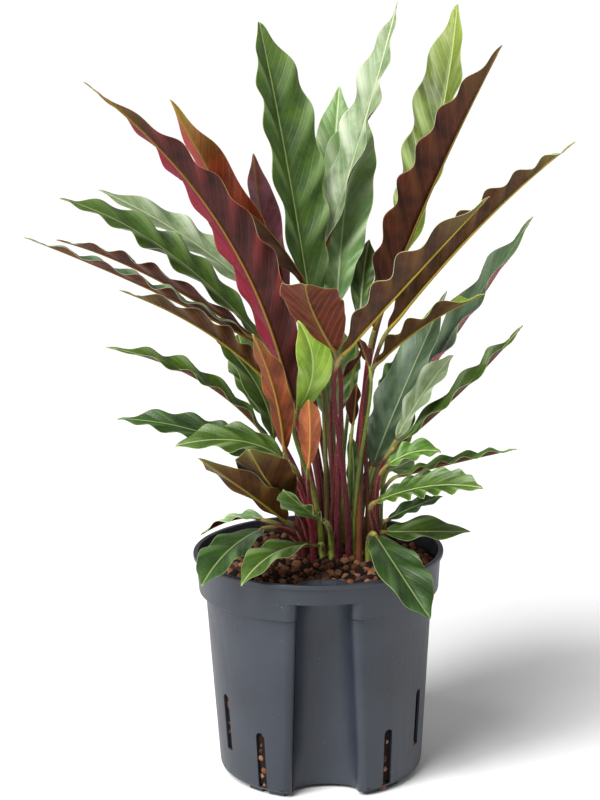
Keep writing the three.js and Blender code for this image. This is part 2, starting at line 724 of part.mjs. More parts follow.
place('pot', pot(), potFinish);
place('granules', granules(leaves.map(stemHole)), clayFinish);
for (const leaf of leaves) {
  place(leaf.name, leafGeometry(leaf), finishes[leaf.finish]);
}

export default plant;
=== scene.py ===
"""The looks of a potted calathea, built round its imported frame.

Every blade repeats the rule of its solid on a finer mesh: a midrib through three points, two
halves that fold up from it and a margin that waves. The pot is turned and cut as its solid is,
with rounded edges. Loose fired clay is strewn over the filling, and short down grows on the
stalks. Sizes are in millimetres in the classes and become metres where a mesh is made.
"""

import json
import logging
import math
from dataclasses import dataclass, field
from enum import Enum

import bmesh
import bpy
import numpy as np
from mathutils import Matrix, Vector

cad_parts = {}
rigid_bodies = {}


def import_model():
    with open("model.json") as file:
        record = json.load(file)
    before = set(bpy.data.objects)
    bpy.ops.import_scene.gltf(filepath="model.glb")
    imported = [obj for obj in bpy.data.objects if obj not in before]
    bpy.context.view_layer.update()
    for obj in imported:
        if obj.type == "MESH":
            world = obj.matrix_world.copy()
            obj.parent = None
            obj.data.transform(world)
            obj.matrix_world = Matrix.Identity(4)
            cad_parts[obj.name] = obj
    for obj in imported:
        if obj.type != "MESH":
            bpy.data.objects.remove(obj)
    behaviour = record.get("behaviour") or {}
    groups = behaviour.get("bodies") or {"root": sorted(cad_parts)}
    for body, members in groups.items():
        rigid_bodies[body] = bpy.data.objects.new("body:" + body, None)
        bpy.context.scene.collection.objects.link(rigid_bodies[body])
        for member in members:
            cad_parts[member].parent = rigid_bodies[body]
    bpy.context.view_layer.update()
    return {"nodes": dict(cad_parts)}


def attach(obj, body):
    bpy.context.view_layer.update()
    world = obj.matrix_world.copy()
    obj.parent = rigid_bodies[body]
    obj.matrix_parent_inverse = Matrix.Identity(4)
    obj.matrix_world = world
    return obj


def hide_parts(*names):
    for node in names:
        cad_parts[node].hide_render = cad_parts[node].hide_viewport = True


LOG = logging.getLogger("calathea")
MM = 0.001
FULL_TURN = 6.283
VEIN_SWEEP = 1.9
PLEAT_MM = 12.0


def linear(colour: str, alpha: float = 1.0) -> tuple[float, float, float, float]:
    """Turns an sRGB hex colour to linear values.

    Args:
        colour: Six hex digits after a hash sign.
        alpha: The fourth value.

    Returns:
        Linear red, green and blue, and alpha.
    """
    shares = [int(colour[i : i + 2], 16) / 255 for i in (1, 3, 5)]
    red, green, blue = (
        s / 12.92 if s <= 0.04045 else ((s + 0.055) / 1.055) ** 2.4 for s in shares
    )
    return red, green, blue, alpha


def add_node(
    tree: bpy.types.NodeTree,
    kind: str,
    inputs: dict | None = None,
    stops: list[tuple[float, tuple]] | None = None,
    **settings: object,
) -> bpy.types.Node:
    """Adds a node with its settings, values and links.

    Args:
        tree: The node tree.
        kind: Blender's name for the node's type.
        inputs: Socket name or index to a value or to the socket that feeds it.
        stops: Places and colours of a colour ramp.
        settings: The node's own properties.

    Returns:
        The new node.
    """
    node = tree.nodes.new(kind)
    for name, value in settings.items():
        setattr(node, name, value)
    for index, (place, colour) in enumerate(stops or []):
        elements = node.color_ramp.elements
        if index >= len(elements):
            elements.new(place)
        elements[index].position = place
        elements[index].color = colour
    for key, value in (inputs or {}).items():
        socket = node.inputs[key]
        if isinstance(value, bpy.types.NodeSocket):
            tree.links.new(value, socket)
        else:
            socket.default_value = value
    return node


def math_node(tree: bpy.types.NodeTree, operation: str, *values: object) -> bpy.types.Node:
    """Adds one arithmetic step on one to three values or sockets."""
    return add_node(tree, "ShaderNodeMath", dict(enumerate(values)), operation=operation)


def range_node(
    tree: bpy.types.NodeTree,
    value: object,
    low: float,
    high: float,
    to_low: float = 0.0,
    to_high: float = 1.0,
    smooth: bool = False,
) -> bpy.types.Node:
    """Maps a value from one range to another.

    Args:
        tree: The tree.
        value: The socket that is mapped.
        low: The first range's start.
        high: The first range's end.
        to_low: The second range's start.
        to_high: The second range's end.
        smooth: Whether both ends are eased.

    Returns:
        The node.
    """
    easing = "SMOOTHSTEP" if smooth else "LINEAR"
    inputs = {0: value, 1: low, 2: high, 3: to_low, 4: to_high}
    return add_node(tree, "ShaderNodeMapRange", inputs, interpolation_type=easing)


def mix_node(
    tree: bpy.types.NodeTree, share: object, first: object, second: object
) -> bpy.types.Node:
    """Mixes two colours by a share, whose result is output 2."""
    return add_node(tree, "ShaderNodeMix", {0: share, 6: first, 7: second}, data_type="RGBA")


def noise_node(
    tree: bpy.types.NodeTree, place: object, scale: float, detail: float
) -> bpy.types.Node:
    """Adds soft noise over a place."""
    return add_node(
        tree, "ShaderNodeTexNoise", {"Vector": place, "Scale": scale, "Detail": detail}
    )


def new_material(name: str) -> tuple[bpy.types.Material, bpy.types.NodeTree]:
    """Makes an empty node material.

    Args:
        name: The material's name.

    Returns:
        The material and its cleared tree.
    """
    material = bpy.data.materials.new(name)
    material.use_nodes = True
    material.node_tree.nodes.clear()
    return material, material.node_tree


def smoothstep(low: float, high: float, value: np.ndarray) -> np.ndarray:
    """Eases from 0 at low to 1 at high."""
    share = np.clip((value - low) / (high - low), 0, 1)
    return share * share * (3 - 2 * share)


def chance(number: int, salt: float) -> float:
    """A repeatable random number from 0 to 1 for a whole number and a salt."""
    value = math.sin(number * 127.1 + salt * 311.7) * 43758.5453
    return value - math.floor(value)


def object_of(name: str, mesh: bpy.types.Mesh) -> bpy.types.Object:
    """Links a mesh into the scene under a name."""
    made = bpy.data.objects.new(name, mesh)
    bpy.context.scene.collection.objects.link(made)
    return made


def evaluated_mesh(piece: bpy.types.Object) -> bpy.types.Mesh:
    """A plain mesh of a piece as its modifiers leave it."""
    graph = bpy.context.evaluated_depsgraph_get()
    return bpy.data.meshes.new_from_object(piece.evaluated_get(graph), depsgraph=graph)


def discard(piece: bpy.types.Object) -> None:
    """Removes a helper object and its mesh."""
    mesh = piece.data
    bpy.data.objects.remove(piece)
    bpy.data.meshes.remove(mesh)


def new_geometry_tree(name: str, inputs: dict[str, str]) -> bpy.types.NodeTree:
    """Makes an empty geometry tree with a geometry in, a geometry out and named inputs.

    Args:
        name: The tree's name.
        inputs: Each further input's name and the kind of its socket.

    Returns:
        The tree.
    """
    tree = bpy.data.node_groups.new(name, "GeometryNodeTree")
    for label, kind in {"Geometry": "Geometry", **inputs}.items():
        tree.interface.new_socket(label, in_out="INPUT", socket_type=f"NodeSocket{kind}")
    tree.interface.new_socket("Geometry", in_out="OUTPUT", socket_type="NodeSocketGeometry")
    return tree


def grow(
    sheet: bpy.types.Object, name: str, tree: bpy.types.NodeTree, values: dict
) -> bpy.types.Object:
    """Runs a geometry tree on a sheet and keeps what it makes.

    Args:
        sheet: The mesh that the tree works on, which is discarded.
        name: The made piece's name.
        tree: The tree.
        values: The tree's inputs by name.

    Returns:
        The made piece, with no modifier.
    """
    modifier = sheet.modifiers.new(name, "NODES")
    modifier.node_group = tree
    for item in tree.interface.items_tree:
        if item.in_out == "INPUT" and item.name in values:
            modifier[item.identifier] = values[item.name]
    sheet.update_tag()
    made = object_of(name, evaluated_mesh(sheet))
    discard(sheet)
    return made


@dataclass(frozen=True)
class BladeFinish:
    """One face of a living blade: a waxy upper skin or a velvety lower one.

    Side veins run forward from the midrib every 12 mm with fine ones between them, so light
    breaks up into narrow pleats. The tops of the margin's waves get a painted highlight, and
    where one is named, a painted sheen tints the half on the blade's own left.
    """

    label: str
    base: str
    deep: str
    vein: str
    midrib: str
    margin: str
    tip: str
    # The next colour is a painted highlight for the tops of the margin's waves.
    painted_highlight: str
    tip_reach: float = 0.3
    # The greatest share of that painted highlight.
    painted_highlight_share: float = 0.5
    roughness: float = 0.4
    sheen: float = 0.0
    sheen_tint: str = "#ffffff"
    coat: float = 0.22
    specular: float = 0.4
    vein_share: float = 0.24
    # A painted sheen colour for the half on the blade's own left, where one is named.
    sheen_flank: str = ""

    def material(self) -> bpy.types.Material:
        """Builds the material.

        Returns:
            A material that reads the blade and growth attributes.
        """
        made, tree = new_material(f"leaf_skin_{self.label}")
        blade = add_node(tree, "ShaderNodeAttribute", attribute_name="blade")
        growth = add_node(tree, "ShaderNodeAttribute", attribute_name="growth")
        place = add_node(tree, "ShaderNodeSeparateXYZ", {0: blade.outputs["Vector"]})
        grown = add_node(tree, "ShaderNodeSeparateXYZ", {0: growth.outputs["Vector"]})
        where = add_node(tree, "ShaderNodeTexCoord")
        off_rib = math_node(tree, "ABSOLUTE", place.outputs[0])
        swept = math_node(tree, "MULTIPLY_ADD", off_rib.outputs[0], -VEIN_SWEEP, place.outputs[1])
        wander = noise_node(tree, where.outputs["Object"], 22.0, 3.0)
        bent = math_node(tree, "MULTIPLY_ADD", wander.outputs["Fac"], 7.0, swept.outputs[0])
        side_vein = math_node(tree, "PINGPONG", bent.outputs[0], PLEAT_MM / 2)
        fine_vein = math_node(tree, "PINGPONG", bent.outputs[0], 0.8)
        vein_line = range_node(tree, side_vein.outputs[0], 0.2, 2.6, 1.0, 0.0, smooth=True)
        fine_line = range_node(tree, fine_vein.outputs[0], 0.0, 0.8, 0.35, 0.0)
        lines = math_node(tree, "MAXIMUM", vein_line.outputs[0], fine_line.outputs[0])
        vein_amount = math_node(tree, "MULTIPLY", lines.outputs[0], self.vein_share)
        blotch = add_node(
            tree,
            "ShaderNodeTexNoise",
            {"Vector": where.outputs["Object"], "Scale": 60.0, "Detail": 4.0, "Roughness": 0.6},
        )
        spread = range_node(tree, blotch.outputs["Fac"], 0.35, 0.65)
        skin = mix_node(tree, spread.outputs[0], linear(self.base), linear(self.deep))
        veined = mix_node(tree, vein_amount.outputs[0], skin.outputs[2], linear(self.vein))
        to_tip = range_node(tree, grown.outputs[0], 1 - self.tip_reach, 1.0, 0.0, 0.85, smooth=True)
        tipped = mix_node(tree, to_tip.outputs[0], veined.outputs[2], linear(self.tip))
        # Painted highlight: the tops of the margin's waves are lightened towards its colour.
        crest_highlight = range_node(tree, grown.outputs[2], 0.0, 0.9, 0.0, self.painted_highlight_share, smooth=True)
        lit = mix_node(tree, crest_highlight.outputs[0], tipped.outputs[2], linear(self.painted_highlight))
        # Painted sheen: the half on the blade's own left is tinted towards that colour.
        if self.sheen_flank:
            sheen_side = range_node(tree, place.outputs[0], 3.0, -14.0, 0.0, 0.75, smooth=True)
            lit = mix_node(tree, sheen_side.outputs[0], lit.outputs[2], linear(self.sheen_flank))
        rib = range_node(tree, off_rib.outputs[0], 0.35, 1.1, 0.85, 0.0, smooth=True)
        ribbed = mix_node(tree, rib.outputs[0], lit.outputs[2], linear(self.midrib))
        edge = range_node(tree, place.outputs[2], 0.965, 0.995, 0.0, 0.6, smooth=True)
        edged = mix_node(tree, edge.outputs[0], ribbed.outputs[2], linear(self.margin))
        own = range_node(tree, grown.outputs[1], 0.0, 1.0, 0.88, 1.14)
        toned = add_node(
            tree, "ShaderNodeHueSaturation", {"Value": own.outputs[0], "Color": edged.outputs[2]}
        )
        relief = math_node(tree, "MULTIPLY_ADD", lines.outputs[0], -1.0, blotch.outputs["Fac"])
        bump = add_node(
            tree,
            "ShaderNodeBump",
            {"Strength": 0.35, "Distance": 0.5 * MM, "Height": relief.outputs[0]},
        )
        gloss = range_node(
            tree, blotch.outputs["Fac"], 0.3, 0.7, self.roughness - 0.06, self.roughness + 0.08
        )
        shader = add_node(
            tree,
            "ShaderNodeBsdfPrincipled",
            {
                "Base Color": toned.outputs[0],
                "Roughness": gloss.outputs[0],
                "Normal": bump.outputs[0],
                "IOR": 1.45,
                "Sheen Weight": self.sheen,
                "Sheen Roughness": 0.35,
                "Sheen Tint": linear(self.sheen_tint),
                "Coat Weight": self.coat,
                "Coat Roughness": 0.28,
                "Specular IOR Level": self.specular,
                "Subsurface Weight": 0.15,
                "Subsurface Radius": (1.0, 0.9, 0.3),
                "Subsurface Scale": 1.2 * MM,
            },
        )
        add_node(tree, "ShaderNodeOutputMaterial", {"Surface": shader.outputs[0]})
        return made


class Upper(Enum):
    """The upper skins the clump shows, waxed and green; the pale, silver and grey ones paled as
    painted glare.
    """

    GREEN = BladeFinish(
        "green", "#45611c", "#284113", "#5c7a2c", "#a9b878", "#b3bd8c", "#56702c", "#93ae70"
    )
    DEEP = BladeFinish(
        "deep_green", "#2c4818", "#18300e", "#3e5c22", "#869a5c", "#93a36f", "#3a5a24", "#5d8048"
    )
    BRIGHT = BladeFinish(
        "bright_green", "#567e28", "#365a1a", "#749a3e", "#b7cc84", "#c6d49c", "#6a9040", "#96b86e"
    )
    # The green upper skin paled as painted glare.
    PALE = BladeFinish(
        "pale_green", "#86a868", "#628a48", "#9dba80", "#c8d8a4", "#d6e0bc", "#7f9f58", "#cfdcb8"
    )
    # The green upper skin paled to silver as painted glare.
    SILVER = BladeFinish(
        "silver_green", "#8fa178", "#62784c", "#a9b894", "#ccd4ac", "#d6dcc0", "#7f9060", "#dfe6cf"
    )
    # The green upper skin greyed as painted glare.
    GREY = BladeFinish(
        "grey_green", "#567050", "#375034", "#6c8462", "#a6b488", "#bcc6a4", "#566a3c", "#9db08e"
    )
    STRIPED = BladeFinish(
        "olive_striped", "#5c6e26", "#3e4c18", "#808e3e", "#a9ba6c", "#c2cc98", "#8a9a40", "#a9bd74",
        vein_share=0.5,
    )
    LIME = BladeFinish(
        "lime", "#8fb034", "#6c9026", "#a4c052", "#c4d67c", "#d0dc98", "#8aa038", "#bcd270"
    )


class Under(Enum):
    """The lower skins, finely haired and maroon to amber, that the clump shows."""

    MAROON = BladeFinish(
        "maroon", "#521a10", "#320e0a", "#6c2c1a", "#8d7034", "#a5744e", "#5f3a18", "#76321f",
        roughness=0.46, sheen=0.08, sheen_tint="#d08a80", coat=0.0, specular=0.3,
    )
    EMBER = BladeFinish(
        "ember", "#431510", "#280b08", "#5c2018", "#94702a", "#b0604a", "#7a6420", "#7a2424",
        # Its crimson left half is a painted sheen.
        sheen_flank="#841c32", tip_reach=0.22,
        roughness=0.42, sheen=0.12, sheen_tint="#d85a70", coat=0.0, specular=0.3,
    )
    FLAME = BladeFinish(
        "flame", "#7c3418", "#521c10", "#a0492c", "#a07a30", "#b8705a", "#8a7a26", "#b0503a",
        # Its pink-red left half is a painted sheen.
        sheen_flank="#a83244", tip_reach=0.3,
        roughness=0.42, sheen=0.1, sheen_tint="#e08a70", coat=0.0, specular=0.3,
    )
    # Purple-brown skin lightened towards pink: partly its own colour, partly painted sheen.
    PLUM = BladeFinish(
        "plum", "#8a4e58", "#5e343e", "#9c6670", "#8f6a3e", "#b07a84", "#7a4634", "#b47c8c",
        roughness=0.46, sheen=0.2, sheen_tint="#e0a0b0", coat=0.0, specular=0.3,
    )
    CRIMSON = BladeFinish(
        "crimson", "#86182c", "#560f1c", "#9c3044", "#a0742e", "#c87878", "#7f4a2a", "#b04458",
        roughness=0.44, sheen=0.12, sheen_tint="#e07080", coat=0.0, specular=0.3,
    )
    BROWN = BladeFinish(
        "brown", "#54220f", "#32120a", "#6c381e", "#85682c", "#94703f", "#56401a", "#7a4a2a",
        roughness=0.44, sheen=0.08, sheen_tint="#c09a80", coat=0.0, specular=0.3,
    )
    OLIVE = BladeFinish(
        "olive_brown", "#4c2a10", "#301808", "#62401c", "#a08c34", "#a3924e", "#66602a", "#7c5624",
        roughness=0.44, sheen=0.08, sheen_tint="#c8b890", coat=0.0, specular=0.3,
    )
    RUST = BladeFinish(
        "rust", "#602216", "#3e130d", "#8a5038", "#957a38", "#b08058", "#6a4020", "#7c3826",
        roughness=0.44, sheen=0.1, sheen_tint="#e0a880", coat=0.0, specular=0.3,
        vein_share=0.55,
    )
    AMBER = BladeFinish(
        "amber", "#7e3c1a", "#541f0e", "#9a5428", "#b88e34", "#c9925c", "#7d5424", "#a05428",
        roughness=0.42, sheen=0.08, sheen_tint="#f0b080", coat=0.0, specular=0.3,
    )
    SALMON = BladeFinish(
        "salmon", "#b8663e", "#904626", "#c87e58", "#c49450", "#d8a07c", "#a06634", "#cc8460",
        roughness=0.42, sheen=0.1, sheen_tint="#f0b090", coat=0.0, specular=0.3,
    )
    ROSE = BladeFinish(
        "rose", "#8a3f44", "#64282e", "#a05a5e", "#a47c48", "#cf9890", "#7d5a34", "#b06a6a",
        roughness=0.44, sheen=0.14, sheen_tint="#f0a0a8", coat=0.0, specular=0.3,
    )


@dataclass(frozen=True)
class StalkFinish:
    """A fibrous, downy leaf stalk whose last stretch swells into a yellow-green joint."""

    label: str
    foot: str
    middle: str
    collar: str
    collar_mm: float = 20.0

    def material(self) -> bpy.types.Material:
        """Builds the material.

        Returns:
            A material that reads the growth attribute.
        """
        made, tree = new_material(f"stalk_{self.label}")
        growth = add_node(tree, "ShaderNodeAttribute", attribute_name="growth")
        grown = add_node(tree, "ShaderNodeSeparateXYZ", {0: growth.outputs["Vector"]})
        where = add_node(tree, "ShaderNodeTexCoord")
        stretched = add_node(
            tree, "ShaderNodeMapping", {"Vector": where.outputs["Object"], "Scale": (1.0, 1.0, 0.08)}
        )
        # Fibres about 0.6 mm apart are drawn at 1.5 mm, the finest that shows
        fibre = add_node(
            tree,
            "ShaderNodeTexNoise",
            {"Vector": stretched.outputs[0], "Scale": 650.0, "Detail": 3.0, "Roughness": 0.7},
        )
        flushed = noise_node(tree, where.outputs["Object"], 45.0, 2.0)
        rise = range_node(tree, grown.outputs[0], 0.05, 0.5, smooth=True)
        body = mix_node(tree, rise.outputs[0], linear(self.foot), linear(self.middle))
        joint = range_node(
            tree, grown.outputs[2], self.collar_mm, self.collar_mm * 0.6, 0.0, 0.8, smooth=True
        )
        jointed = mix_node(tree, joint.outputs[0], body.outputs[2], linear(self.collar))
        streaks = range_node(tree, fibre.outputs["Fac"], 0.3, 0.7, 0.72, 1.3)
        patches = range_node(tree, flushed.outputs["Fac"], 0.3, 0.7, 0.8, 1.2)
        value = math_node(tree, "MULTIPLY", streaks.outputs[0], patches.outputs[0])
        toned = add_node(
            tree, "ShaderNodeHueSaturation", {"Value": value.outputs[0], "Color": jointed.outputs[2]}
        )
        bump = add_node(
            tree,
            "ShaderNodeBump",
            {"Strength": 0.4, "Distance": 0.3 * MM, "Height": fibre.outputs["Fac"]},
        )
        shader = add_node(
            tree,
            "ShaderNodeBsdfPrincipled",
            {
                "Base Color": toned.outputs[0],
                "Roughness": 0.55,
                "Normal": bump.outputs[0],
                "IOR": 1.45,
                "Sheen Weight": 0.3,
                "Sheen Roughness": 0.4,
                "Sheen Tint": linear("#e8b0a0"),
            },
        )
        add_node(tree, "ShaderNodeOutputMaterial", {"Surface": shader.outputs[0]})
        return made


class Stalk(Enum):
    """The stalks' colours."""

    CRIMSON = StalkFinish("crimson", "#5e101c", "#8a1a30", "#7f8a3c")
    RED = StalkFinish("red", "#4a1614", "#641c1c", "#8a8a40")
    BROWN = StalkFinish("brown", "#74401f", "#4c2614", "#7a7a38")
    OLIVE = StalkFinish("olive", "#5c4a20", "#5c5c28", "#93984c")
    GREEN = StalkFinish("green", "#7e8c34", "#6c8430", "#9cac4c")
    PLUM = StalkFinish("plum", "#521222", "#641626", "#7f7a44")


SLOTS = {
    number: slot
    for slot, numbers in {
        "leaf_green": (5, 6, 9, 13, 15, 17, 18, 20, 21, 22, 23, 24, 25, 26, 30, 31, 32, 33, 37,
            39, 45, 46, 47, 48, 50, 51, 52, 53, 54),
        "leaf_pale": (7, 8, 16, 19, 27, 38, 42, 49),
        "leaf_maroon": (1, 2, 3, 4, 10, 11, 12, 14, 28, 29, 34, 35, 36, 40),
        "leaf_amber": (41, 43, 44),
    }.items()
    for number in numbers
}


@dataclass
class Leaf:
    """One leaf with its stalk: where it runs and how its blade folds, rolls and waves."""

    number: int
    root: tuple[float, float]
    collar: tuple[float, float, float]
    middle: tuple[float, float, float]
    tip: tuple[float, float, float]
    width: tuple[float, float, float]
    fold: float
    roll: tuple[float, float]
    wave: tuple[float, float]
    upper: Upper
    under: Under
    stalk: Stalk
    stem_base: float = 1.35
    stem_per_half_width: float = 0.042
    stem_taper: float = 0.72
    stem_depth: float = 9.0
    stem_stub: float = 3.5
    stem_rise: float = 0.45
    collar_reach: float = 0.16
    tube_sides: int = 10
    blade_thick: float = 0.56
    row_pitch: float = 2.7
    pleat_height: float = 0.4
    crown: float = 0.05
    foot_swell: float = 0.45
    foot_fade: float = 70.0
    joint_swell: float = 0.14
    joint_place: float = 9.0
    joint_spread: float = 6.0

    @property
    def name(self) -> str:
        """The CAD node's name."""
        return f"leaf_{self.number:02d}"

    @property
    def slot(self) -> str:
        """The record's material slot for this leaf's face that shows."""
        return SLOTS[self.number]

    @property
    def lean(self) -> np.ndarray:
        """The level direction across the blade, square to where it leans."""
        run = np.subtract(self.tip, self.collar)[:2]
        run = run / np.linalg.norm(run)
        return np.array([-run[1], run[0], 0.0])

    def midrib(self, t: np.ndarray) -> np.ndarray:
        """Points of the curve through collar, middle and tip."""
        return (
            np.outer((1 - t) * (1 - 2 * t), self.collar)
            + np.outer(4 * t * (1 - t), self.middle)
            + np.outer(t * (2 * t - 1), self.tip)
        )

    def heading(self, t: np.ndarray) -> np.ndarray:
        """Unit directions along the midrib.

        Args:
            t: Shares of the way from collar to tip.

        Returns:
            One direction a row.
        """
        run = (
            np.outer(4 * t - 3, self.collar)
            + np.outer(4 - 8 * t, self.middle)
            + np.outer(4 * t - 1, self.tip)
        )
        return run / np.linalg.norm(run, axis=1, keepdims=True)

    def axes(self, heading: np.ndarray, roll: np.ndarray) -> tuple[np.ndarray, np.ndarray]:
        """Unit axes across the blade and out of its upper face.

        Args:
            heading: Unit directions along the leaf, one a row.
            roll: Roll about them in radians, one for each.

        Returns:
            Across and out, as rows.
        """
        across = self.lean - heading * (heading @ self.lean)[:, None]
        across /= np.linalg.norm(across, axis=1, keepdims=True)
        out = np.cross(heading, across)
        cos, sin = np.cos(roll)[:, None], np.sin(roll)[:, None]
        return across * cos + out * sin, out * cos - across * sin

    def half_width(self, t: np.ndarray) -> np.ndarray:
        """Half the blade's width along it."""
        half, base, tip = self.width
        peak = base / (base + tip)
        shape = t**base * (1 - t) ** tip / (peak**base * (1 - peak) ** tip)
        drawn = 1 - 0.4 * smoothstep(0.8, 0.97, t)
        return np.maximum(0.5, half * shape * drawn)

    def blade(self) -> tuple[np.ndarray, list, list, np.ndarray, np.ndarray]:
        """The blade as a closed thin shell.

        Returns:
            Vertices, faces, each face's material index, and the two attributes' values.
        """
        length = math.dist(self.collar, self.middle) + math.dist(self.middle, self.tip)
        rows = max(30, round(length / self.row_pitch))
        halves = 10 if self.width[0] > 15 else 7
        t = np.linspace(0, 1, rows + 1)
        quarter = math.pi / 2 * 0.9
        u = np.sin(np.linspace(-1, 1, 2 * halves + 1) * quarter) / math.sin(quarter)
        roll = np.radians(self.roll[0] + (self.roll[1] - self.roll[0]) * t)
        side, face = self.axes(self.heading(t), roll)
        centre = self.midrib(t)
        along = np.concatenate([[0], np.cumsum(np.linalg.norm(np.diff(centre, axis=0), axis=1))])
        width = self.half_width(t)
        waves, height = self.wave
        drift = 1 + 0.22 * np.sin(2 * math.pi * (0.37 * waves * t + chance(self.number, 1)))
        swell = (np.sin(math.pi * t) ** 0.6 * drift)[:, None]
        lag = 0.09 * np.sin(2 * math.pi * (1.3 * t + chance(self.number, 3)))[:, None] * np.sign(u)
        out_share = np.abs(u)[None, :]
        trail = (1 - out_share) * width[:, None] * VEIN_SWEEP * 0.7 / along[-1]
        ripple = swell * np.cos(2 * math.pi * (waves * (t[:, None] + trail) + lag))
        fold = math.radians(self.fold)
        x = u[None, :] * width[:, None]
        sway = 2.5 * np.sin(along / 19 + 6 * chance(self.number, 4))[:, None]
        pleat_phase = (along[:, None] - VEIN_SWEEP * np.abs(x) + sway) / PLEAT_MM
        held = smoothstep(0.1, 0.4, out_share) * (1 - smoothstep(0.75, 1.0, out_share))
        lift = (
            out_share * width[:, None] * math.sin(fold)
            + height * ripple * out_share**1.2
            + self.crown * width[:, None] * np.sin(math.pi * out_share)
            + self.pleat_height * np.sin(2 * math.pi * pleat_phase) * held
        )
        points = (
            centre[:, None, :]
            + side[:, None, :] * (x * math.cos(fold))[:, :, None]
            + face[:, None, :] * lift[:, :, None]
        )
        normal = np.cross(np.gradient(points, axis=0), np.gradient(points, axis=1))
        normal /= np.maximum(np.linalg.norm(normal, axis=2, keepdims=True), 1e-9)
        half_thick = self.blade_thick / 2 * (1 - 0.5 * out_share**4)
        top = points + normal * half_thick[:, :, None]
        low = points - normal * half_thick[:, :, None]
        # How high each wave stands towards the margin, which places the painted highlight.
        crest_highlight = ripple * out_share**0.7
        marks = np.stack(
            np.broadcast_arrays(x, along[:, None], out_share + 0 * t[:, None]), axis=2
        ).reshape(-1, 3)
        grown = np.stack(
            np.broadcast_arrays(t[:, None] + 0 * x, chance(self.number, 2) + 0 * x, crest_highlight), axis=2
        ).reshape(-1, 3)
        # The lower face gets the flipped wave height, so its painted highlight lies on its own wave
        # tops.
        under_grown = grown * (1, 1, -1)
        columns = len(u)
        count = len(t) * columns
        faces, kinds = [], []

        def at(i: int, j: int, lower: bool = False) -> int:
            """The index of a grid point on the upper or lower face."""
            return i * columns + j + (count if lower else 0)

        for i in range(rows):
            for j in range(columns - 1):
                faces.append((at(i, j), at(i + 1, j), at(i + 1, j + 1), at(i, j + 1)))
                kinds.append(0)
                faces.append(
                    (at(i, j, True), at(i, j + 1, True), at(i + 1, j + 1, True), at(i + 1, j, True))
                )
                kinds.append(1)
            last = columns - 1
            faces.append((at(i + 1, 0), at(i, 0), at(i, 0, True), at(i + 1, 0, True)))
            faces.append((at(i, last), at(i + 1, last), at(i + 1, last, True), at(i, last, True)))
            kinds += [0, 0]
        for j in range(columns - 1):
            faces.append((at(0, j), at(0, j + 1), at(0, j + 1, True), at(0, j, True)))
            faces.append(
                (at(rows, j + 1), at(rows, j), at(rows, j, True), at(rows, j + 1, True))
            )
            kinds += [0, 0]
        vertices = np.concatenate([top.reshape(-1, 3), low.reshape(-1, 3)])
        return (
            vertices,
            faces,
            kinds,
            np.concatenate([marks, marks]),
            np.concatenate([grown, under_grown]),
        )

    def stalk_line(self) -> tuple[np.ndarray, np.ndarray]:
        """The stalk's centreline from its foot to the collar.

        Returns:
            Points and unit directions along them.
        """
        level = Granules().level(*self.root)
        stub = np.array([*self.root, level + self.stem_stub])
        reach = math.dist(stub, self.collar)
        start = self.heading(np.array([0.0]))[0]
        first = stub + np.array([0, 0, reach * self.stem_rise])
        second = np.array(self.collar) - start * reach * self.collar_reach
        s = np.linspace(0, 1, 30)
        curve = (
            np.outer((1 - s) ** 3, stub)
            + np.outer(3 * (1 - s) ** 2 * s, first)
            + np.outer(3 * (1 - s) * s**2, second)
            + np.outer(s**3, self.collar)
        )
        foot = np.array([[*self.root, level - self.stem_depth], [*self.root, level - 2.0]])
        line = np.concatenate([foot, curve])
        run = np.gradient(line, axis=0)
        run[:3] = (0, 0, 1)
        run[-1] = start
        return line, run / np.linalg.norm(run, axis=1, keepdims=True)

    def tube(
        self, line: np.ndarray, run: np.ndarray, radius: np.ndarray, roll: np.ndarray, sink: np.ndarray
    ) -> tuple[np.ndarray, list]:
        """A closed tube along a line.

        Args:
            line: Centre points.
            run: Unit directions.
            radius: Radii.
            roll: Rolls in radians.
            sink: How far each ring lies under the upper face.

        Returns:
            Vertices and faces.
        """
        side, face = self.axes(run, roll)
        turn = np.linspace(0, 2 * math.pi, self.tube_sides, endpoint=False)
        ring = (
            side[:, None, :] * np.cos(turn)[None, :, None]
            + face[:, None, :] * np.sin(turn)[None, :, None]
        )
        centre = line - face * sink[:, None]
        points = centre[:, None, :] + ring * radius[:, None, None]
        count = self.tube_sides
        faces = []
        for i in range(len(line) - 1):
            for k in range(count):
                after = (k + 1) % count
                here, above = i * count, (i + 1) * count
                faces.append((here + k, here + after, above + after, above + k))
        faces.append(tuple(reversed(range(count))))
        faces.append(tuple((len(line) - 1) * count + k for k in range(count)))
        return points.reshape(-1, 3), faces

    def stalk_run(self) -> np.ndarray:
        """Length run along the stalk at each of its rings."""
        line, _ = self.stalk_line()
        return np.concatenate([[0], np.cumsum(np.linalg.norm(np.diff(line, axis=0), axis=1))])

    def stalk_tube(self) -> tuple[np.ndarray, list]:
        """The stalk's closed skin, thick at its sheathed foot and swollen under the blade.

        Returns:
            Vertices and faces.
        """
        line, run = self.stalk_line()
        along = self.stalk_run()
        left = along[-1] - along
        radius = self.stem_base + self.stem_per_half_width * self.width[0]
        joint = self.joint_swell * np.exp(-(((left - self.joint_place) / self.joint_spread) ** 2))
        swell = 1.03 + joint + self.foot_swell * np.exp(-along / self.foot_fade)
        radii = radius * (1 + (self.stem_taper - 1) * along / along[-1]) * swell
        roll = np.full(len(line), math.radians(self.roll[0]))
        return self.tube(line, run, radii, roll, np.zeros(len(line)))

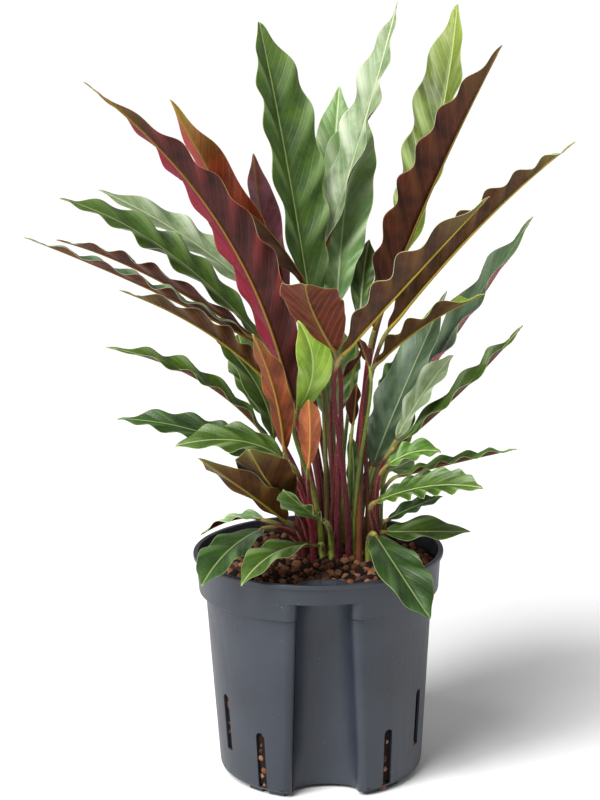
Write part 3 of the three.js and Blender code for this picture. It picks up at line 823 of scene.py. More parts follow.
    def build(self, finishes: dict) -> bpy.types.Object:
        """Makes the leaf's mesh and dresses it.

        Args:
            finishes: Materials by finish.

        Returns:
            The leaf's object, which stands for its node.
        """
        vertices, faces, kinds, marks, grown = self.blade()
        own = chance(self.number, 2)
        radius = self.stem_base + self.stem_per_half_width * self.width[0]
        tube, tube_faces = self.stalk_tube()
        along = self.stalk_run()
        share = along / along[-1]
        left = along[-1] - along
        t = np.linspace(0, 0.97, 44)
        thin = 1 - 0.42 * smoothstep(0.0, 0.12, t)
        rib_radii = radius * self.stem_taper * thin * (1 - t) ** 0.9 + 0.22
        rib_roll = np.radians(self.roll[0] + (self.roll[1] - self.roll[0]) * t)
        sink = rib_radii * 0.85 * smoothstep(0.0, 0.08, t)
        rib, rib_faces = self.tube(self.midrib(t), self.heading(t), rib_radii, rib_roll, sink)
        parts = [vertices, tube, rib]
        starts = np.cumsum([0] + [len(part) for part in parts])
        faces = faces + [tuple(starts[1] + i for i in f) for f in tube_faces]
        faces += [tuple(starts[2] + i for i in f) for f in rib_faces]
        kinds = kinds + [2] * len(tube_faces) + [1] * len(rib_faces)
        sides = self.tube_sides
        tube_marks = np.repeat(np.stack([0 * along, along, 0 * along], 1), sides, 0)
        tube_grown = np.repeat(np.stack([share, own + 0 * share, left], 1), sides, 0)
        rib_marks = np.zeros((len(rib), 3))
        rib_grown = np.repeat(np.stack([t, own + 0 * t, 0 * t], 1), sides, 0)
        mesh = bpy.data.meshes.new(f"{self.name}_fine")
        mesh.from_pydata((np.concatenate(parts) * MM).tolist(), [], faces)
        for label, values in (
            ("blade", np.concatenate([marks, tube_marks, rib_marks])),
            ("growth", np.concatenate([grown, tube_grown, rib_grown])),
        ):
            attribute = mesh.attributes.new(label, "FLOAT_VECTOR", "POINT")
            attribute.data.foreach_set("vector", values.astype(np.float32).ravel())
        for finish in (self.upper, self.under, self.stalk):
            mesh.materials.append(finishes[finish])
        mesh.polygons.foreach_set("material_index", kinds)
        mesh.polygons.foreach_set("use_smooth", [True] * len(kinds))
        mesh.update()
        return object_of(f"fine_{self.name}", mesh)


LEAVES = [
    Leaf(1, (0, 12), (-21, -37, 340), (-76, -75, 497), (-180, -125, 621),
         (27, 0.72, 1.2), 24, (30, 22), (8, 3.6),
         Upper.GREEN, Under.EMBER, Stalk.CRIMSON),
    Leaf(2, (4, 20), (-27, -8, 393), (-66, -30, 494), (-116, -66, 601),
         (22, 0.72, 0.75), 20, (30, 20), (4, 3),
         Upper.GREEN, Under.FLAME, Stalk.RED),
    Leaf(3, (8, 28), (-24, 14, 385), (-41, 0, 475), (-50, -30, 552),
         (16, 0.72, 0.7), 20, (0, 0), (3, 2),
         Upper.GREEN, Under.PLUM, Stalk.RED),
    Leaf(4, (4, 36), (-34, 14, 380), (-64, 6, 448), (-94, -10, 499),
         (13, 0.72, 0.9), 20, (20, 10), (3, 2.4),
         Upper.GREEN, Under.CRIMSON, Stalk.RED),
    Leaf(5, (16, 28), (-1, 20, 392), (-23, 68, 533), (-46, 126, 651),
         (33, 0.72, 0.6), 24, (20, 20), (6, 3.5),
         Upper.GREEN, Under.MAROON, Stalk.OLIVE),
    Leaf(6, (13, 37), (-8, 53, 403), (46, 81, 563), (76, 86, 669),
         (21, 1.2, 1.3), 24, (0, 24), (6, 4),
         Upper.SILVER, Under.RUST, Stalk.RED),
    Leaf(7, (16, 44), (14, 76, 408), (19, 116, 510), (26, 156, 590),
         (20, 0.72, 0.7), 14, (0, 0), (4, 2.6),
         Upper.PALE, Under.MAROON, Stalk.OLIVE),
    Leaf(8, (24, 28), (20, 48, 408), (29, 92, 491), (45, 126, 576),
         (27, 0.72, 0.6), 14, (0, 0), (5, 4),
         Upper.PALE, Under.MAROON, Stalk.GREEN),
    Leaf(9, (32, 28), (63, 50, 412), (107, 76, 540), (130, 108, 665),
         (27, 0.72, 0.58), 26, (0, 6), (6, 4.4),
         Upper.STRIPED, Under.ROSE, Stalk.BROWN),
    Leaf(10, (37, 8), (51, 2, 395), (97, -30, 517), (153, -70, 641),
         (27, 0.72, 0.75), 42, (-5, -5), (8, 4),
         Upper.SILVER, Under.BROWN, Stalk.CRIMSON),
    Leaf(11, (36, -6), (62, -22, 399), (136, -66, 494), (206, -124, 568),
         (21, 0.72, 1.1), 40, (0, 0), (8, 4),
         Upper.SILVER, Under.OLIVE, Stalk.BROWN),
    Leaf(12, (27, -5), (22, -74, 389), (76, -108, 456), (136, -154, 530),
         (21, 0.72, 0.8), 40, (0, 0), (5, 4.4),
         Upper.SILVER, Under.OLIVE, Stalk.PLUM),
    Leaf(13, (44, 28), (78, 26, 327), (132, 24, 400), (188, 14, 489),
         (28, 0.72, 0.85), 16, (12, 14), (4, 4.2),
         Upper.GREY, Under.CRIMSON, Stalk.OLIVE),
    Leaf(14, (45, 4), (51, -50, 376), (90, -78, 414), (136, -112, 445),
         (18, 0.72, 0.75), 22, (0, 0), (4, 4),
         Upper.LIME, Under.OLIVE, Stalk.BROWN),
    Leaf(15, (37, 20), (49, 4, 273), (72, -4, 334), (114, 10, 426),
         (24, 0.72, 0.75), 12, (40, 30), (4, 3),
         Upper.GREY, Under.MAROON, Stalk.GREEN),
    Leaf(16, (44, 20), (68, -30, 305), (91, -38, 347), (116, -40, 380),
         (18, 0.72, 0.6), 12, (30, 30), (3, 2.6),
         Upper.SILVER, Under.MAROON, Stalk.OLIVE),
    Leaf(17, (48, 12), (66, -46, 302), (125, -58, 357), (172, -66, 410),
         (14, 0.72, 0.9), 20, (10, 20), (4, 3.4),
         Upper.GREEN, Under.MAROON, Stalk.RED),
    Leaf(18, (53, 5), (60, -57, 290), (82, -63, 302), (104, -65, 302),
         (13, 0.72, 0.7), 14, (30, 20), (3, 3),
         Upper.BRIGHT, Under.MAROON, Stalk.RED),
    Leaf(19, (56, 28), (65, 24, 264), (74, 30, 266), (87, 38, 271),
         (12, 0.72, 0.7), 10, (30, 30), (2, 2),
         Upper.PALE, Under.MAROON, Stalk.GREEN),
    Leaf(20, (52, 20), (70, -20, 270), (118, -26, 283), (171, -30, 295),
         (12, 0.72, 0.9), 20, (0, 0), (5, 2.6),
         Upper.BRIGHT, Under.MAROON, Stalk.OLIVE),
    Leaf(21, (52, -3), (49, -52, 256), (94, -78, 276), (136, -102, 280),
         (19, 0.72, 0.7), 12, (25, 20), (7, 3.4),
         Upper.GREEN, Under.MAROON, Stalk.RED),
    Leaf(22, (60, 20), (61, -6, 227), (85, -8, 239), (109, -6, 247),
         (11, 0.72, 0.7), 12, (20, 10), (3, 2),
         Upper.DEEP, Under.MAROON, Stalk.RED),
    Leaf(23, (59, 12), (58, -14, 218), (93, -22, 220), (132, -24, 220),
         (18, 0.72, 0.75), 12, (20, 10), (2, 2.4),
         Upper.GREEN, Under.MAROON, Stalk.RED),
    Leaf(24, (44, -4), (49, -42, 223), (68, -92, 204), (91, -122, 174),
         (23, 0.72, 0.7), 14, (0, 0), (3, 2.4),
         Upper.DEEP, Under.MAROON, Stalk.GREEN),
    Leaf(25, (-16, 12), (-49, -20, 224), (-77, -72, 220), (-98, -112, 202),
         (20, 0.72, 0.7), 12, (0, 0), (3, 2.2),
         Upper.DEEP, Under.MAROON, Stalk.RED),
    Leaf(26, (4, -4), (0, -28, 211), (-37, -80, 220), (-65, -118, 204),
         (18, 0.72, 0.75), 12, (0, 0), (3, 2.4),
         Upper.GREEN, Under.MAROON, Stalk.GREEN),
    Leaf(27, (-19, 28), (-49, 14, 223), (-74, 28, 220), (-105, 40, 202),
         (15, 0.72, 0.7), 10, (0, 0), (3, 2),
         Upper.PALE, Under.MAROON, Stalk.RED),
    Leaf(28, (-8, 12), (-26, -34, 250), (-42, -84, 284), (-56, -130, 323),
         (24, 0.72, 0.6), 20, (10, 10), (3, 2.6),
         Upper.GREEN, Under.OLIVE, Stalk.RED),
    Leaf(29, (-12, 4), (-28, -34, 235), (-59, -84, 275), (-98, -124, 315),
         (19, 0.72, 0.75), 20, (15, 15), (3, 2.6),
         Upper.GREEN, Under.OLIVE, Stalk.RED),
    Leaf(30, (-8, 20), (-24, -26, 284), (-66, -32, 306), (-121, -38, 304),
         (22, 0.72, 0.7), 10, (-15, -20), (4, 3),
         Upper.GREEN, Under.BROWN, Stalk.RED),
    Leaf(31, (-12, 36), (-28, 24, 265), (-102, 30, 299), (-176, 36, 311),
         (19, 0.72, 0.8), 12, (-20, -20), (5, 3.2),
         Upper.DEEP, Under.BROWN, Stalk.RED),
    Leaf(32, (-16, 20), (-41, 2, 298), (-100, -12, 356), (-179, -24, 388),
         (15, 0.72, 0.8), 20, (-10, -15), (5, 3.2),
         Upper.GREEN, Under.BROWN, Stalk.RED),
    Leaf(33, (-12, 28), (-38, 12, 296), (-52, 22, 343), (-90, 36, 387),
         (16, 0.72, 0.75), 12, (-20, -20), (3, 2.6),
         Upper.GREEN, Under.MAROON, Stalk.RED),
    Leaf(34, (-4, 28), (-44, -22, 359), (-97, -50, 409), (-161, -80, 447),
         (17, 0.72, 0.8), 24, (20, 10), (5, 3.2),
         Upper.GREY, Under.OLIVE, Stalk.RED),
    Leaf(35, (-4, 36), (-46, -4, 384), (-140, -24, 438), (-242, -40, 486),
         (12, 0.72, 0.9), 30, (0, 0), (7, 3),
         Upper.GREY, Under.BROWN, Stalk.RED),
    Leaf(36, (-9, 44), (-50, 8, 386), (-141, 2, 445), (-219, -6, 478),
         (15, 0.72, 0.85), 25, (15, 15), (6, 3),
         Upper.GREY, Under.BROWN, Stalk.RED),
    Leaf(37, (-3, 43), (-44, 22, 379), (-129, 20, 464), (-217, 12, 511),
         (23, 0.72, 0.8), 14, (-20, -20), (6, 4),
         Upper.GREEN, Under.BROWN, Stalk.RED),
    Leaf(38, (4, 50), (-35, 56, 403), (-109, 70, 464), (-190, 80, 509),
         (20, 0.72, 0.75), 14, (-20, -20), (5, 3),
         Upper.SILVER, Under.MAROON, Stalk.RED),
    Leaf(39, (8, 12), (-8, -12, 438), (-35, -47, 485), (-58, -68, 511),
         (14, 0.72, 0.6), 30, (120, 150), (3, 3),
         Upper.DEEP, Under.BROWN, Stalk.OLIVE),
    Leaf(40, (17, -4), (16, -68, 390), (-3, -122, 436), (-8, -164, 464),
         (26, 0.72, 0.6), 16, (0, 0), (4, 2),
         Upper.GREEN, Under.RUST, Stalk.PLUM),
    Leaf(41, (12, 4), (10, -35, 381), (-11, -37, 403), (-18, -40, 424),
         (13, 0.72, 0.7), 16, (0, 0), (2, 2),
         Upper.GREEN, Under.AMBER, Stalk.RED),
    Leaf(42, (3, 4), (-17, -62, 339), (-3, -67, 378), (-15, -66, 417),
         (16.5, 0.72, 0.6), 12, (180, 180), (2, 2),
         Upper.LIME, Under.AMBER, Stalk.GREEN),
    Leaf(43, (-5, 4), (-8, -52, 287), (-6, -66, 319), (-7, -78, 352),
         (11, 0.72, 0.5), 30, (0, 0), (2, 1.2),
         Upper.LIME, Under.SALMON, Stalk.CRIMSON),
    Leaf(44, (-4, -4), (-28, -62, 304), (-35, -86, 361), (-52, -112, 415),
         (13, 0.72, 0.7), 20, (0, 0), (3, 2.4),
         Upper.LIME, Under.AMBER, Stalk.CRIMSON),
    Leaf(45, (28, 20), (30, 20, 226), (32, 22, 265), (29, 22, 298),
         (8, 0.72, 0.7), 20, (0, 0), (3, 1.6),
         Upper.GREEN, Under.MAROON, Stalk.GREEN),
    Leaf(46, (12, -4), (4, -48, 239), (-15, -78, 262), (-29, -92, 279),
         (17, 0.72, 0.7), 12, (180, 180), (4, 3),
         Upper.GREEN, Under.MAROON, Stalk.GREEN),
    Leaf(47, (16, 12), (22, -8, 355), (33, -14, 367), (43, -16, 385),
         (11, 0.72, 0.7), 16, (0, 0), (2, 2),
         Upper.DEEP, Under.MAROON, Stalk.RED),
    Leaf(48, (31, -1), (44, -66, 378), (40, -71, 390), (35, -76, 403),
         (7, 0.72, 0.7), 20, (0, 0), (2, 1.6),
         Upper.GREEN, Under.MAROON, Stalk.GREEN),
    Leaf(49, (27, 12), (31, -12, 314), (33, -14, 332), (35, -16, 352),
         (8, 0.72, 0.6), 16, (0, 0), (2, 1.6),
         Upper.GREY, Under.MAROON, Stalk.GREEN),
    Leaf(50, (20, 36), (40, 52, 394), (44, 74, 430), (50, 92, 459),
         (11, 0.72, 0.7), 16, (0, 0), (3, 2),
         Upper.GREEN, Under.MAROON, Stalk.GREEN),
    Leaf(51, (18, 52), (13, 84, 296), (19, 125, 333), (25, 180, 360),
         (24, 0.72, 0.75), 14, (0, 0), (5, 3.4),
         Upper.GREEN, Under.MAROON, Stalk.RED),
    Leaf(52, (32, 44), (67, 74, 297), (82, 112, 326), (98, 150, 351),
         (22, 0.72, 0.75), 14, (0, 0), (5, 3.2),
         Upper.GREEN, Under.MAROON, Stalk.RED),
    Leaf(53, (-4, 51), (-42, 84, 297), (-60, 120, 336), (-71, 160, 361),
         (22, 0.72, 0.75), 14, (0, 0), (5, 3.2),
         Upper.GREEN, Under.MAROON, Stalk.RED),
    Leaf(54, (44, 36), (62, 64, 253), (73, 90, 284), (82, 120, 315),
         (18, 0.72, 0.75), 14, (0, 0), (4, 3),
         Upper.GREEN, Under.MAROON, Stalk.RED),
]


@dataclass
class Foliage:
    """Every leaf of the clump and the down on its stalks."""

    leaves: list[Leaf] = field(default_factory=lambda: LEAVES)

    def build(self) -> list[bpy.types.Object]:
        """Makes every leaf and the stalks' down.

        Returns:
            The pieces made.
        """
        used = {f for leaf in self.leaves for f in (leaf.upper, leaf.under, leaf.stalk)}
        finishes = {f: f.value.material() for f in sorted(used, key=lambda f: f.value.label)}
        made = []
        for leaf in self.leaves:
            piece = leaf.build(finishes)
            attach(piece, "root")
            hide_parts(leaf.name)
            leaf.slot
            made.append(piece)
        LOG.info("leaves: %d pieces, %d faces", len(made), sum(len(p.data.polygons) for p in made))
        made.append(Down().build([leaf.stalk_tube() for leaf in self.leaves]))
        return made


@dataclass
class Down:
    """Short pinkish hairs that stand out of the stalks, each a closed three-sided sliver."""

    length: float = 1.9
    width: float = 0.16
    per_mm2: float = 0.16
    shortest: float = 0.55
    longest: float = 1.15
    sunk: float = 0.1
    lean: float = 0.12
    seed: int = 7

    def material(self) -> bpy.types.Material:
        """Pale pink hair that catches light along the stalks' outlines."""
        made, tree = new_material("stalk_down")
        shader = add_node(
            tree,
            "ShaderNodeBsdfPrincipled",
            {"Base Color": linear("#b98878"), "Roughness": 0.6, "Subsurface Weight": 0.1},
        )
        add_node(tree, "ShaderNodeOutputMaterial", {"Surface": shader.outputs[0]})
        return made

    def sliver(self) -> bpy.types.Object:
        """One hair of unit length along Z, its foot sunk a little."""
        turns = [2 * math.pi * k / 3 for k in range(3)]
        share = self.width / self.length / 2
        corners = [(math.cos(a) * share, math.sin(a) * share, -self.sunk) for a in turns]
        mesh = bpy.data.meshes.new("sliver")
        mesh.from_pydata(
            [*corners, (self.lean, 0, 1)], [], [(0, 2, 1), (0, 1, 3), (1, 2, 3), (2, 0, 3)]
        )
        return bpy.data.objects.new("sliver", mesh)

    def skin(self, stalks: list[tuple[np.ndarray, list]]) -> bpy.types.Object:
        """The stalks' skins as one mesh for hairs to stand on.

        Args:
            stalks: Each stalk's vertices and faces.

        Returns:
            The mesh's object, without the stalks' ends.
        """
        starts = np.cumsum([0] + [len(points) for points, _ in stalks])
        faces = [
            tuple(start + i for i in face)
            for start, (_, rings) in zip(starts, stalks)
            for face in rings
            if len(face) == 4
        ]
        mesh = bpy.data.meshes.new("skin")
        mesh.from_pydata((np.concatenate([p for p, _ in stalks]) * MM).tolist(), [], faces)
        return object_of("skin", mesh)

    def tree(self) -> bpy.types.NodeTree:
        """Stands slivers on a skin at random, each turned along the skin's normal."""
        inputs = {
            "Hair": "Object",
            "Density": "Float",
            "Length": "Float",
            "Seed": "Int",
            "Finish": "Material",
        }
        tree = new_geometry_tree("stalk_down", inputs)
        given = add_node(tree, "NodeGroupInput").outputs
        points = add_node(
            tree,
            "GeometryNodeDistributePointsOnFaces",
            {"Mesh": given["Geometry"], "Density": given["Density"], "Seed": given["Seed"]},
            distribute_method="RANDOM",
        )
        shape = add_node(tree, "GeometryNodeObjectInfo", {"Object": given["Hair"]})
        share = add_node(
            tree,
            "FunctionNodeRandomValue",
            {2: self.shortest, 3: self.longest, "Seed": given["Seed"]},
            data_type="FLOAT",
        )
        size = math_node(tree, "MULTIPLY", share.outputs[1], given["Length"])
        stood = add_node(
            tree,
            "GeometryNodeInstanceOnPoints",
            {
                "Points": points.outputs["Points"],
                "Instance": shape.outputs["Geometry"],
                "Rotation": points.outputs["Rotation"],
                "Scale": size.outputs[0],
            },
        )
        real = add_node(tree, "GeometryNodeRealizeInstances", {0: stood.outputs[0]})
        dressed = add_node(
            tree,
            "GeometryNodeSetMaterial",
            {"Geometry": real.outputs[0], "Material": given["Finish"]},
        )
        add_node(tree, "NodeGroupOutput", {0: dressed.outputs[0]})
        return tree

    def build(self, stalks: list[tuple[np.ndarray, list]]) -> bpy.types.Object:
        """Grows the hairs on the stalks.

        Args:
            stalks: Each stalk's vertices and faces.

        Returns:
            All the hairs as one piece.
        """
        hair = self.sliver()
        values = {
            "Hair": hair,
            "Density": self.per_mm2 / MM**2,
            "Length": self.length * MM,
            "Seed": self.seed,
            "Finish": self.material(),
        }
        grown = grow(self.skin(stalks), "stalk_hairs", self.tree(), values)
        discard(hair)
        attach(grown, "root")
        LOG.info("stalk hairs: %d faces", len(grown.data.polygons))
        return grown


@dataclass(frozen=True)
class FiredClay:
    """Expanded clay: fired to brown, orange and pink crusts over a darker foamed core.

    Pores of half a millimetre to 2 mm pit it, and no gloss is left on it.
    """

    tones: tuple[str, ...] = (
        "#24150e", "#3c2416", "#583420", "#6e442c", "#80563c", "#946a50", "#5e4838", "#452b1c",
    )
    pore_mm: float = 1.1

    def material(self, label: str, dim: float = 1.0) -> bpy.types.Material:
        """Builds the material.

        Args:
            label: The end of its name.
            dim: A share of the brightness, for the filling in the shade of the rest.

        Returns:
            A material that reads each pebble's tone.
        """
        made, tree = new_material(f"fired_clay_{label}")
        tone = add_node(tree, "ShaderNodeAttribute", attribute_name="tone")
        where = add_node(tree, "ShaderNodeTexCoord")
        drift = noise_node(tree, where.outputs["Object"], 160.0, 3.0)
        mixed = math_node(tree, "MULTIPLY_ADD", drift.outputs["Fac"], 0.5, tone.outputs["Fac"])
        shifted = math_node(tree, "SUBTRACT", mixed.outputs[0], 0.25)
        step = 1 / (len(self.tones) - 1)
        crust = add_node(
            tree,
            "ShaderNodeValToRGB",
            {0: shifted.outputs[0]},
            stops=[(i * step, linear(tone_hex)) for i, tone_hex in enumerate(self.tones)],
        )
        pores = add_node(
            tree,
            "ShaderNodeTexVoronoi",
            {"Vector": where.outputs["Object"], "Scale": 1 / (self.pore_mm * MM)},
        )
        grit = add_node(
            tree,
            "ShaderNodeTexNoise",
            {"Vector": where.outputs["Object"], "Scale": 900.0, "Detail": 4.0, "Roughness": 0.7},
        )
        pit = range_node(tree, pores.outputs["Distance"], 0.15, 0.5)
        # dim scales the brightness down, as painted shade for the filling.
        value = range_node(tree, pit.outputs[0], 0.0, 1.0, 0.62 * dim, 1.08 * dim)
        toned = add_node(
            tree, "ShaderNodeHueSaturation", {"Value": value.outputs[0], "Color": crust.outputs[0]}
        )
        relief = math_node(tree, "MULTIPLY_ADD", grit.outputs["Fac"], 0.6, pit.outputs[0])
        bump = add_node(
            tree,
            "ShaderNodeBump",
            {"Strength": 0.7, "Distance": 0.6 * MM, "Height": relief.outputs[0]},
        )
        shader = add_node(
            tree,
            "ShaderNodeBsdfPrincipled",
            {
                "Base Color": toned.outputs[0],
                "Roughness": 0.92,
                "Normal": bump.outputs[0],
                "IOR": 1.5,
                "Specular IOR Level": 0.25,
            },
        )
        add_node(tree, "ShaderNodeOutputMaterial", {"Surface": shader.outputs[0]})
        return made


@dataclass
class Granules:
    """Broken fired clay, 5 to 12 mm across, strewn over the filling and behind the slots."""

    fill_level: float = 188.0
    mound_height: float = 8.0
    mound_centre: tuple[float, float] = (20.0, 24.0)
    mound_radius: float = 62.0
    reach: float = 101.0
    spacing: float = 6.0
    smallest: float = 2.9
    largest: float = 5.3
    seed: int = 11
    lumps: int = 6
    cell: float = 5.0
    sunk: float = 1.2
    behind_wall: float = 5.8
    strip_half: float = 0.03

    def level(self, x: float, y: float) -> float:
        """Height of the filling at a place."""
        reach = min(1.0, math.dist((x, y), self.mound_centre) / self.mound_radius)
        return self.fill_level + self.mound_height * (0.5 + 0.5 * math.cos(math.pi * reach))

    def bed(self, pot: "CulturePot") -> bpy.types.Object:
        """The sheet that pebbles are strewn on: the filling's top and strips behind the slots.

        Args:
            pot: The pot that holds the filling.

        Returns:
            The sheet.
        """
        mesh = bmesh.new()
        steps = math.ceil(self.reach / self.cell)
        found = {}
        for i in range(-steps, steps + 1):
            for j in range(-steps, steps + 1):
                x, y = i * self.cell, j * self.cell
                if math.hypot(x, y) < self.reach and not pot.in_trough(x, y):
                    found[i, j] = mesh.verts.new(Vector((x, y, self.level(x, y) - self.sunk)) * MM)
        for i, j in found:
            corners = [(i, j), (i + 1, j), (i + 1, j + 1), (i, j + 1)]
            if all(corner in found for corner in corners):
                mesh.faces.new([found[corner] for corner in corners])
        for angle, bottom in pot.slots():
            rows = 8
            strip = []
            for k in range(rows + 1):
                over = 2
                z = bottom - over + (pot.slot_height + 2 * over) * k / rows
                radius = pot.radius_at(z) - self.behind_wall
                strip.append(
                    [
                        mesh.verts.new(Vector((math.sin(a) * radius, -math.cos(a) * radius, z)) * MM)
                        for a in (angle - self.strip_half, angle, angle + self.strip_half)
                    ]
                )
            for k in range(rows):
                for c in range(2):
                    mesh.faces.new(
                        [strip[k][c], strip[k][c + 1], strip[k + 1][c + 1], strip[k + 1][c]]
                    )
        data = bpy.data.meshes.new("bed")
        mesh.to_mesh(data)
        mesh.free()
        return object_of("bed", data)

    def lump(self, index: int) -> bpy.types.Object:
        """One pebble shape of unit radius: a smooth ball or a broken, flat-sided piece.

        Args:
            index: Which of the shapes, 0 for the smooth ball.

        Returns:
            The pebble, not linked to the scene.
        """
        mesh = bmesh.new()
        bmesh.ops.create_icosphere(mesh, subdivisions=2, radius=1.0)
        rng = np.random.default_rng(100 + index)
        smooth = index == 0
        cuts = [] if smooth else [
            (Vector(rng.normal(size=3)).normalized(), rng.uniform(0.45, 0.8)) for _ in range(7)
        ]
        stretch = Vector(rng.uniform(0.78, 1.15, size=3)) if not smooth else Vector((1, 1, 1))
        for vertex in mesh.verts:
            place = vertex.co.copy()
            for direction, depth in cuts:
                over = place.dot(direction) - depth
                if over > 0:
                    place -= direction * over * 0.9
            place *= 1 + 0.06 * math.sin(5 * place.x + 3 * index) * math.cos(4 * place.z + index)
            vertex.co = Vector(a * b for a, b in zip(place, stretch))
        data = bpy.data.meshes.new(f"lump_{index}")
        mesh.to_mesh(data)
        mesh.free()
        data.polygons.foreach_set("use_smooth", [True] * len(data.polygons))
        return bpy.data.objects.new(f"lump_{index}", data)

    def tree(self) -> bpy.types.NodeTree:
        """Strews lumps over a sheet, each turned, sized and toned at random."""
        inputs = {
            "Lumps": "Collection",
            "Spacing": "Float",
            "Smallest Radius": "Float",
            "Largest Radius": "Float",
            "Seed": "Int",
            "Clay": "Material",
        }
        tree = new_geometry_tree("strewn_clay", inputs)
        given = add_node(tree, "NodeGroupInput").outputs
        points = add_node(
            tree,
            "GeometryNodeDistributePointsOnFaces",
            {
                "Mesh": given["Geometry"],
                "Distance Min": given["Spacing"],
                "Density Max": 60000.0,
                "Seed": given["Seed"],
            },
            distribute_method="POISSON",
        )
        shapes = add_node(
            tree,
            "GeometryNodeCollectionInfo",
            {"Collection": given["Lumps"], "Separate Children": True, "Reset Children": True},
        )
        turn = add_node(
            tree,
            "FunctionNodeRandomValue",
            {0: (0.0, 0.0, 0.0), 1: (FULL_TURN,) * 3, "Seed": given["Seed"]},
            data_type="FLOAT_VECTOR",
        )
        size = add_node(
            tree,
            "FunctionNodeRandomValue",
            {2: given["Smallest Radius"], 3: given["Largest Radius"], "Seed": given["Seed"]},
            data_type="FLOAT",
        )
        strewn = add_node(
            tree,
            "GeometryNodeInstanceOnPoints",
            {
                "Points": points.outputs["Points"],
                "Instance": shapes.outputs[0],
                "Pick Instance": True,
                "Rotation": turn.outputs[0],
                "Scale": size.outputs[1],
            },
        )
        tone = add_node(
            tree, "FunctionNodeRandomValue", {2: 0.0, 3: 1.0, "Seed": 5}, data_type="FLOAT"
        )
        toned = add_node(
            tree,
            "GeometryNodeStoreNamedAttribute",
            {"Geometry": strewn.outputs[0], "Name": "tone", "Value": tone.outputs[1]},
            data_type="FLOAT",
            domain="INSTANCE",
        )
        real = add_node(tree, "GeometryNodeRealizeInstances", {0: toned.outputs[0]})
        dressed = add_node(
            tree,
            "GeometryNodeSetMaterial",
            {"Geometry": real.outputs[0], "Material": given["Clay"]},
        )
        add_node(tree, "NodeGroupOutput", {0: dressed.outputs[0]})
        return tree

    def build(self, pot: "CulturePot", nodes: dict) -> bpy.types.Object:
        """Strews the clay and dresses the filling under it.

        Args:
            pot: The pot that holds it.
            nodes: The CAD nodes.

        Returns:
            The strewn clay.
        """
        filling = nodes["granules"]
        filling.data.materials.clear()
        # The filling between the pebbles is darkened to 0.45 as painted shade.
        filling.data.materials.append(FiredClay().material("filling", dim=0.45))
        shapes = bpy.data.collections.new("lumps")
        for index in range(self.lumps):
            shapes.objects.link(self.lump(index))
        values = {
            "Lumps": shapes,
            "Spacing": self.spacing * MM,
            "Smallest Radius": self.smallest * MM,
            "Largest Radius": self.largest * MM,
            "Seed": self.seed,
            "Clay": FiredClay().material("pebbles"),
        }
        strewn = grow(self.bed(pot), "clay_pebbles", self.tree(), values)
        for shape in list(shapes.objects):
            discard(shape)
        bpy.data.collections.remove(shapes)
        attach(strewn, "root")
        LOG.info("clay pebbles: %d faces", len(strewn.data.polygons))
        return strewn


@dataclass(frozen=True)
class MouldedPlastic:
    """Injection-moulded polypropylene, blue-grey, satin, with scuffs and a little dust."""

    base: str = "#252a33"
    light: str = "#2e343e"
    dust: str = "#7c7f82"
    roughness: float = 0.44

    def material(self) -> bpy.types.Material:
        """Builds the material.

        Returns:
            The pot's grey, with soft clouds and dust.
        """
        made, tree = new_material("moulded_polypropylene")
        where = add_node(tree, "ShaderNodeTexCoord")
        cloud = noise_node(tree, where.outputs["Object"], 14.0, 3.0)
        soft = range_node(tree, cloud.outputs["Fac"], 0.35, 0.65)
        plain = mix_node(tree, soft.outputs[0], linear(self.base), linear(self.light))
        # Dust specks of 0.3 mm are drawn at 1 mm, the finest that shows
        specks = add_node(
            tree, "ShaderNodeTexVoronoi", {"Vector": where.outputs["Object"], "Scale": 130.0}
        )
        speck = range_node(tree, specks.outputs["Distance"], 0.09, 0.05, 0.0, 0.55)
        fall = noise_node(tree, where.outputs["Object"], 35.0, 2.0)
        some = range_node(tree, fall.outputs["Fac"], 0.52, 0.6)
        dusted = math_node(tree, "MULTIPLY", speck.outputs[0], some.outputs[0])
        colour = mix_node(tree, dusted.outputs[0], plain.outputs[2], linear(self.dust))
        drawn = add_node(
            tree, "ShaderNodeMapping", {"Vector": where.outputs["Object"], "Scale": (1.0, 1.0, 0.06)}
        )
        scuffs = add_node(
            tree,
            "ShaderNodeTexNoise",
            {"Vector": drawn.outputs[0], "Scale": 420.0, "Detail": 5.0, "Roughness": 0.75},
        )
        gloss = range_node(
            tree, scuffs.outputs["Fac"], 0.3, 0.7, self.roughness - 0.06, self.roughness + 0.08
        )
        bump = add_node(
            tree,
            "ShaderNodeBump",
            {"Strength": 0.12, "Distance": 0.2 * MM, "Height": scuffs.outputs["Fac"]},
        )
        shader = add_node(
            tree,
            "ShaderNodeBsdfPrincipled",
            {
                "Base Color": colour.outputs[2],
                "Roughness": gloss.outputs[0],
                "Normal": bump.outputs[0],
                "IOR": 1.49,
            },
        )
        add_node(tree, "ShaderNodeOutputMaterial", {"Surface": shader.outputs[0]})
        return made


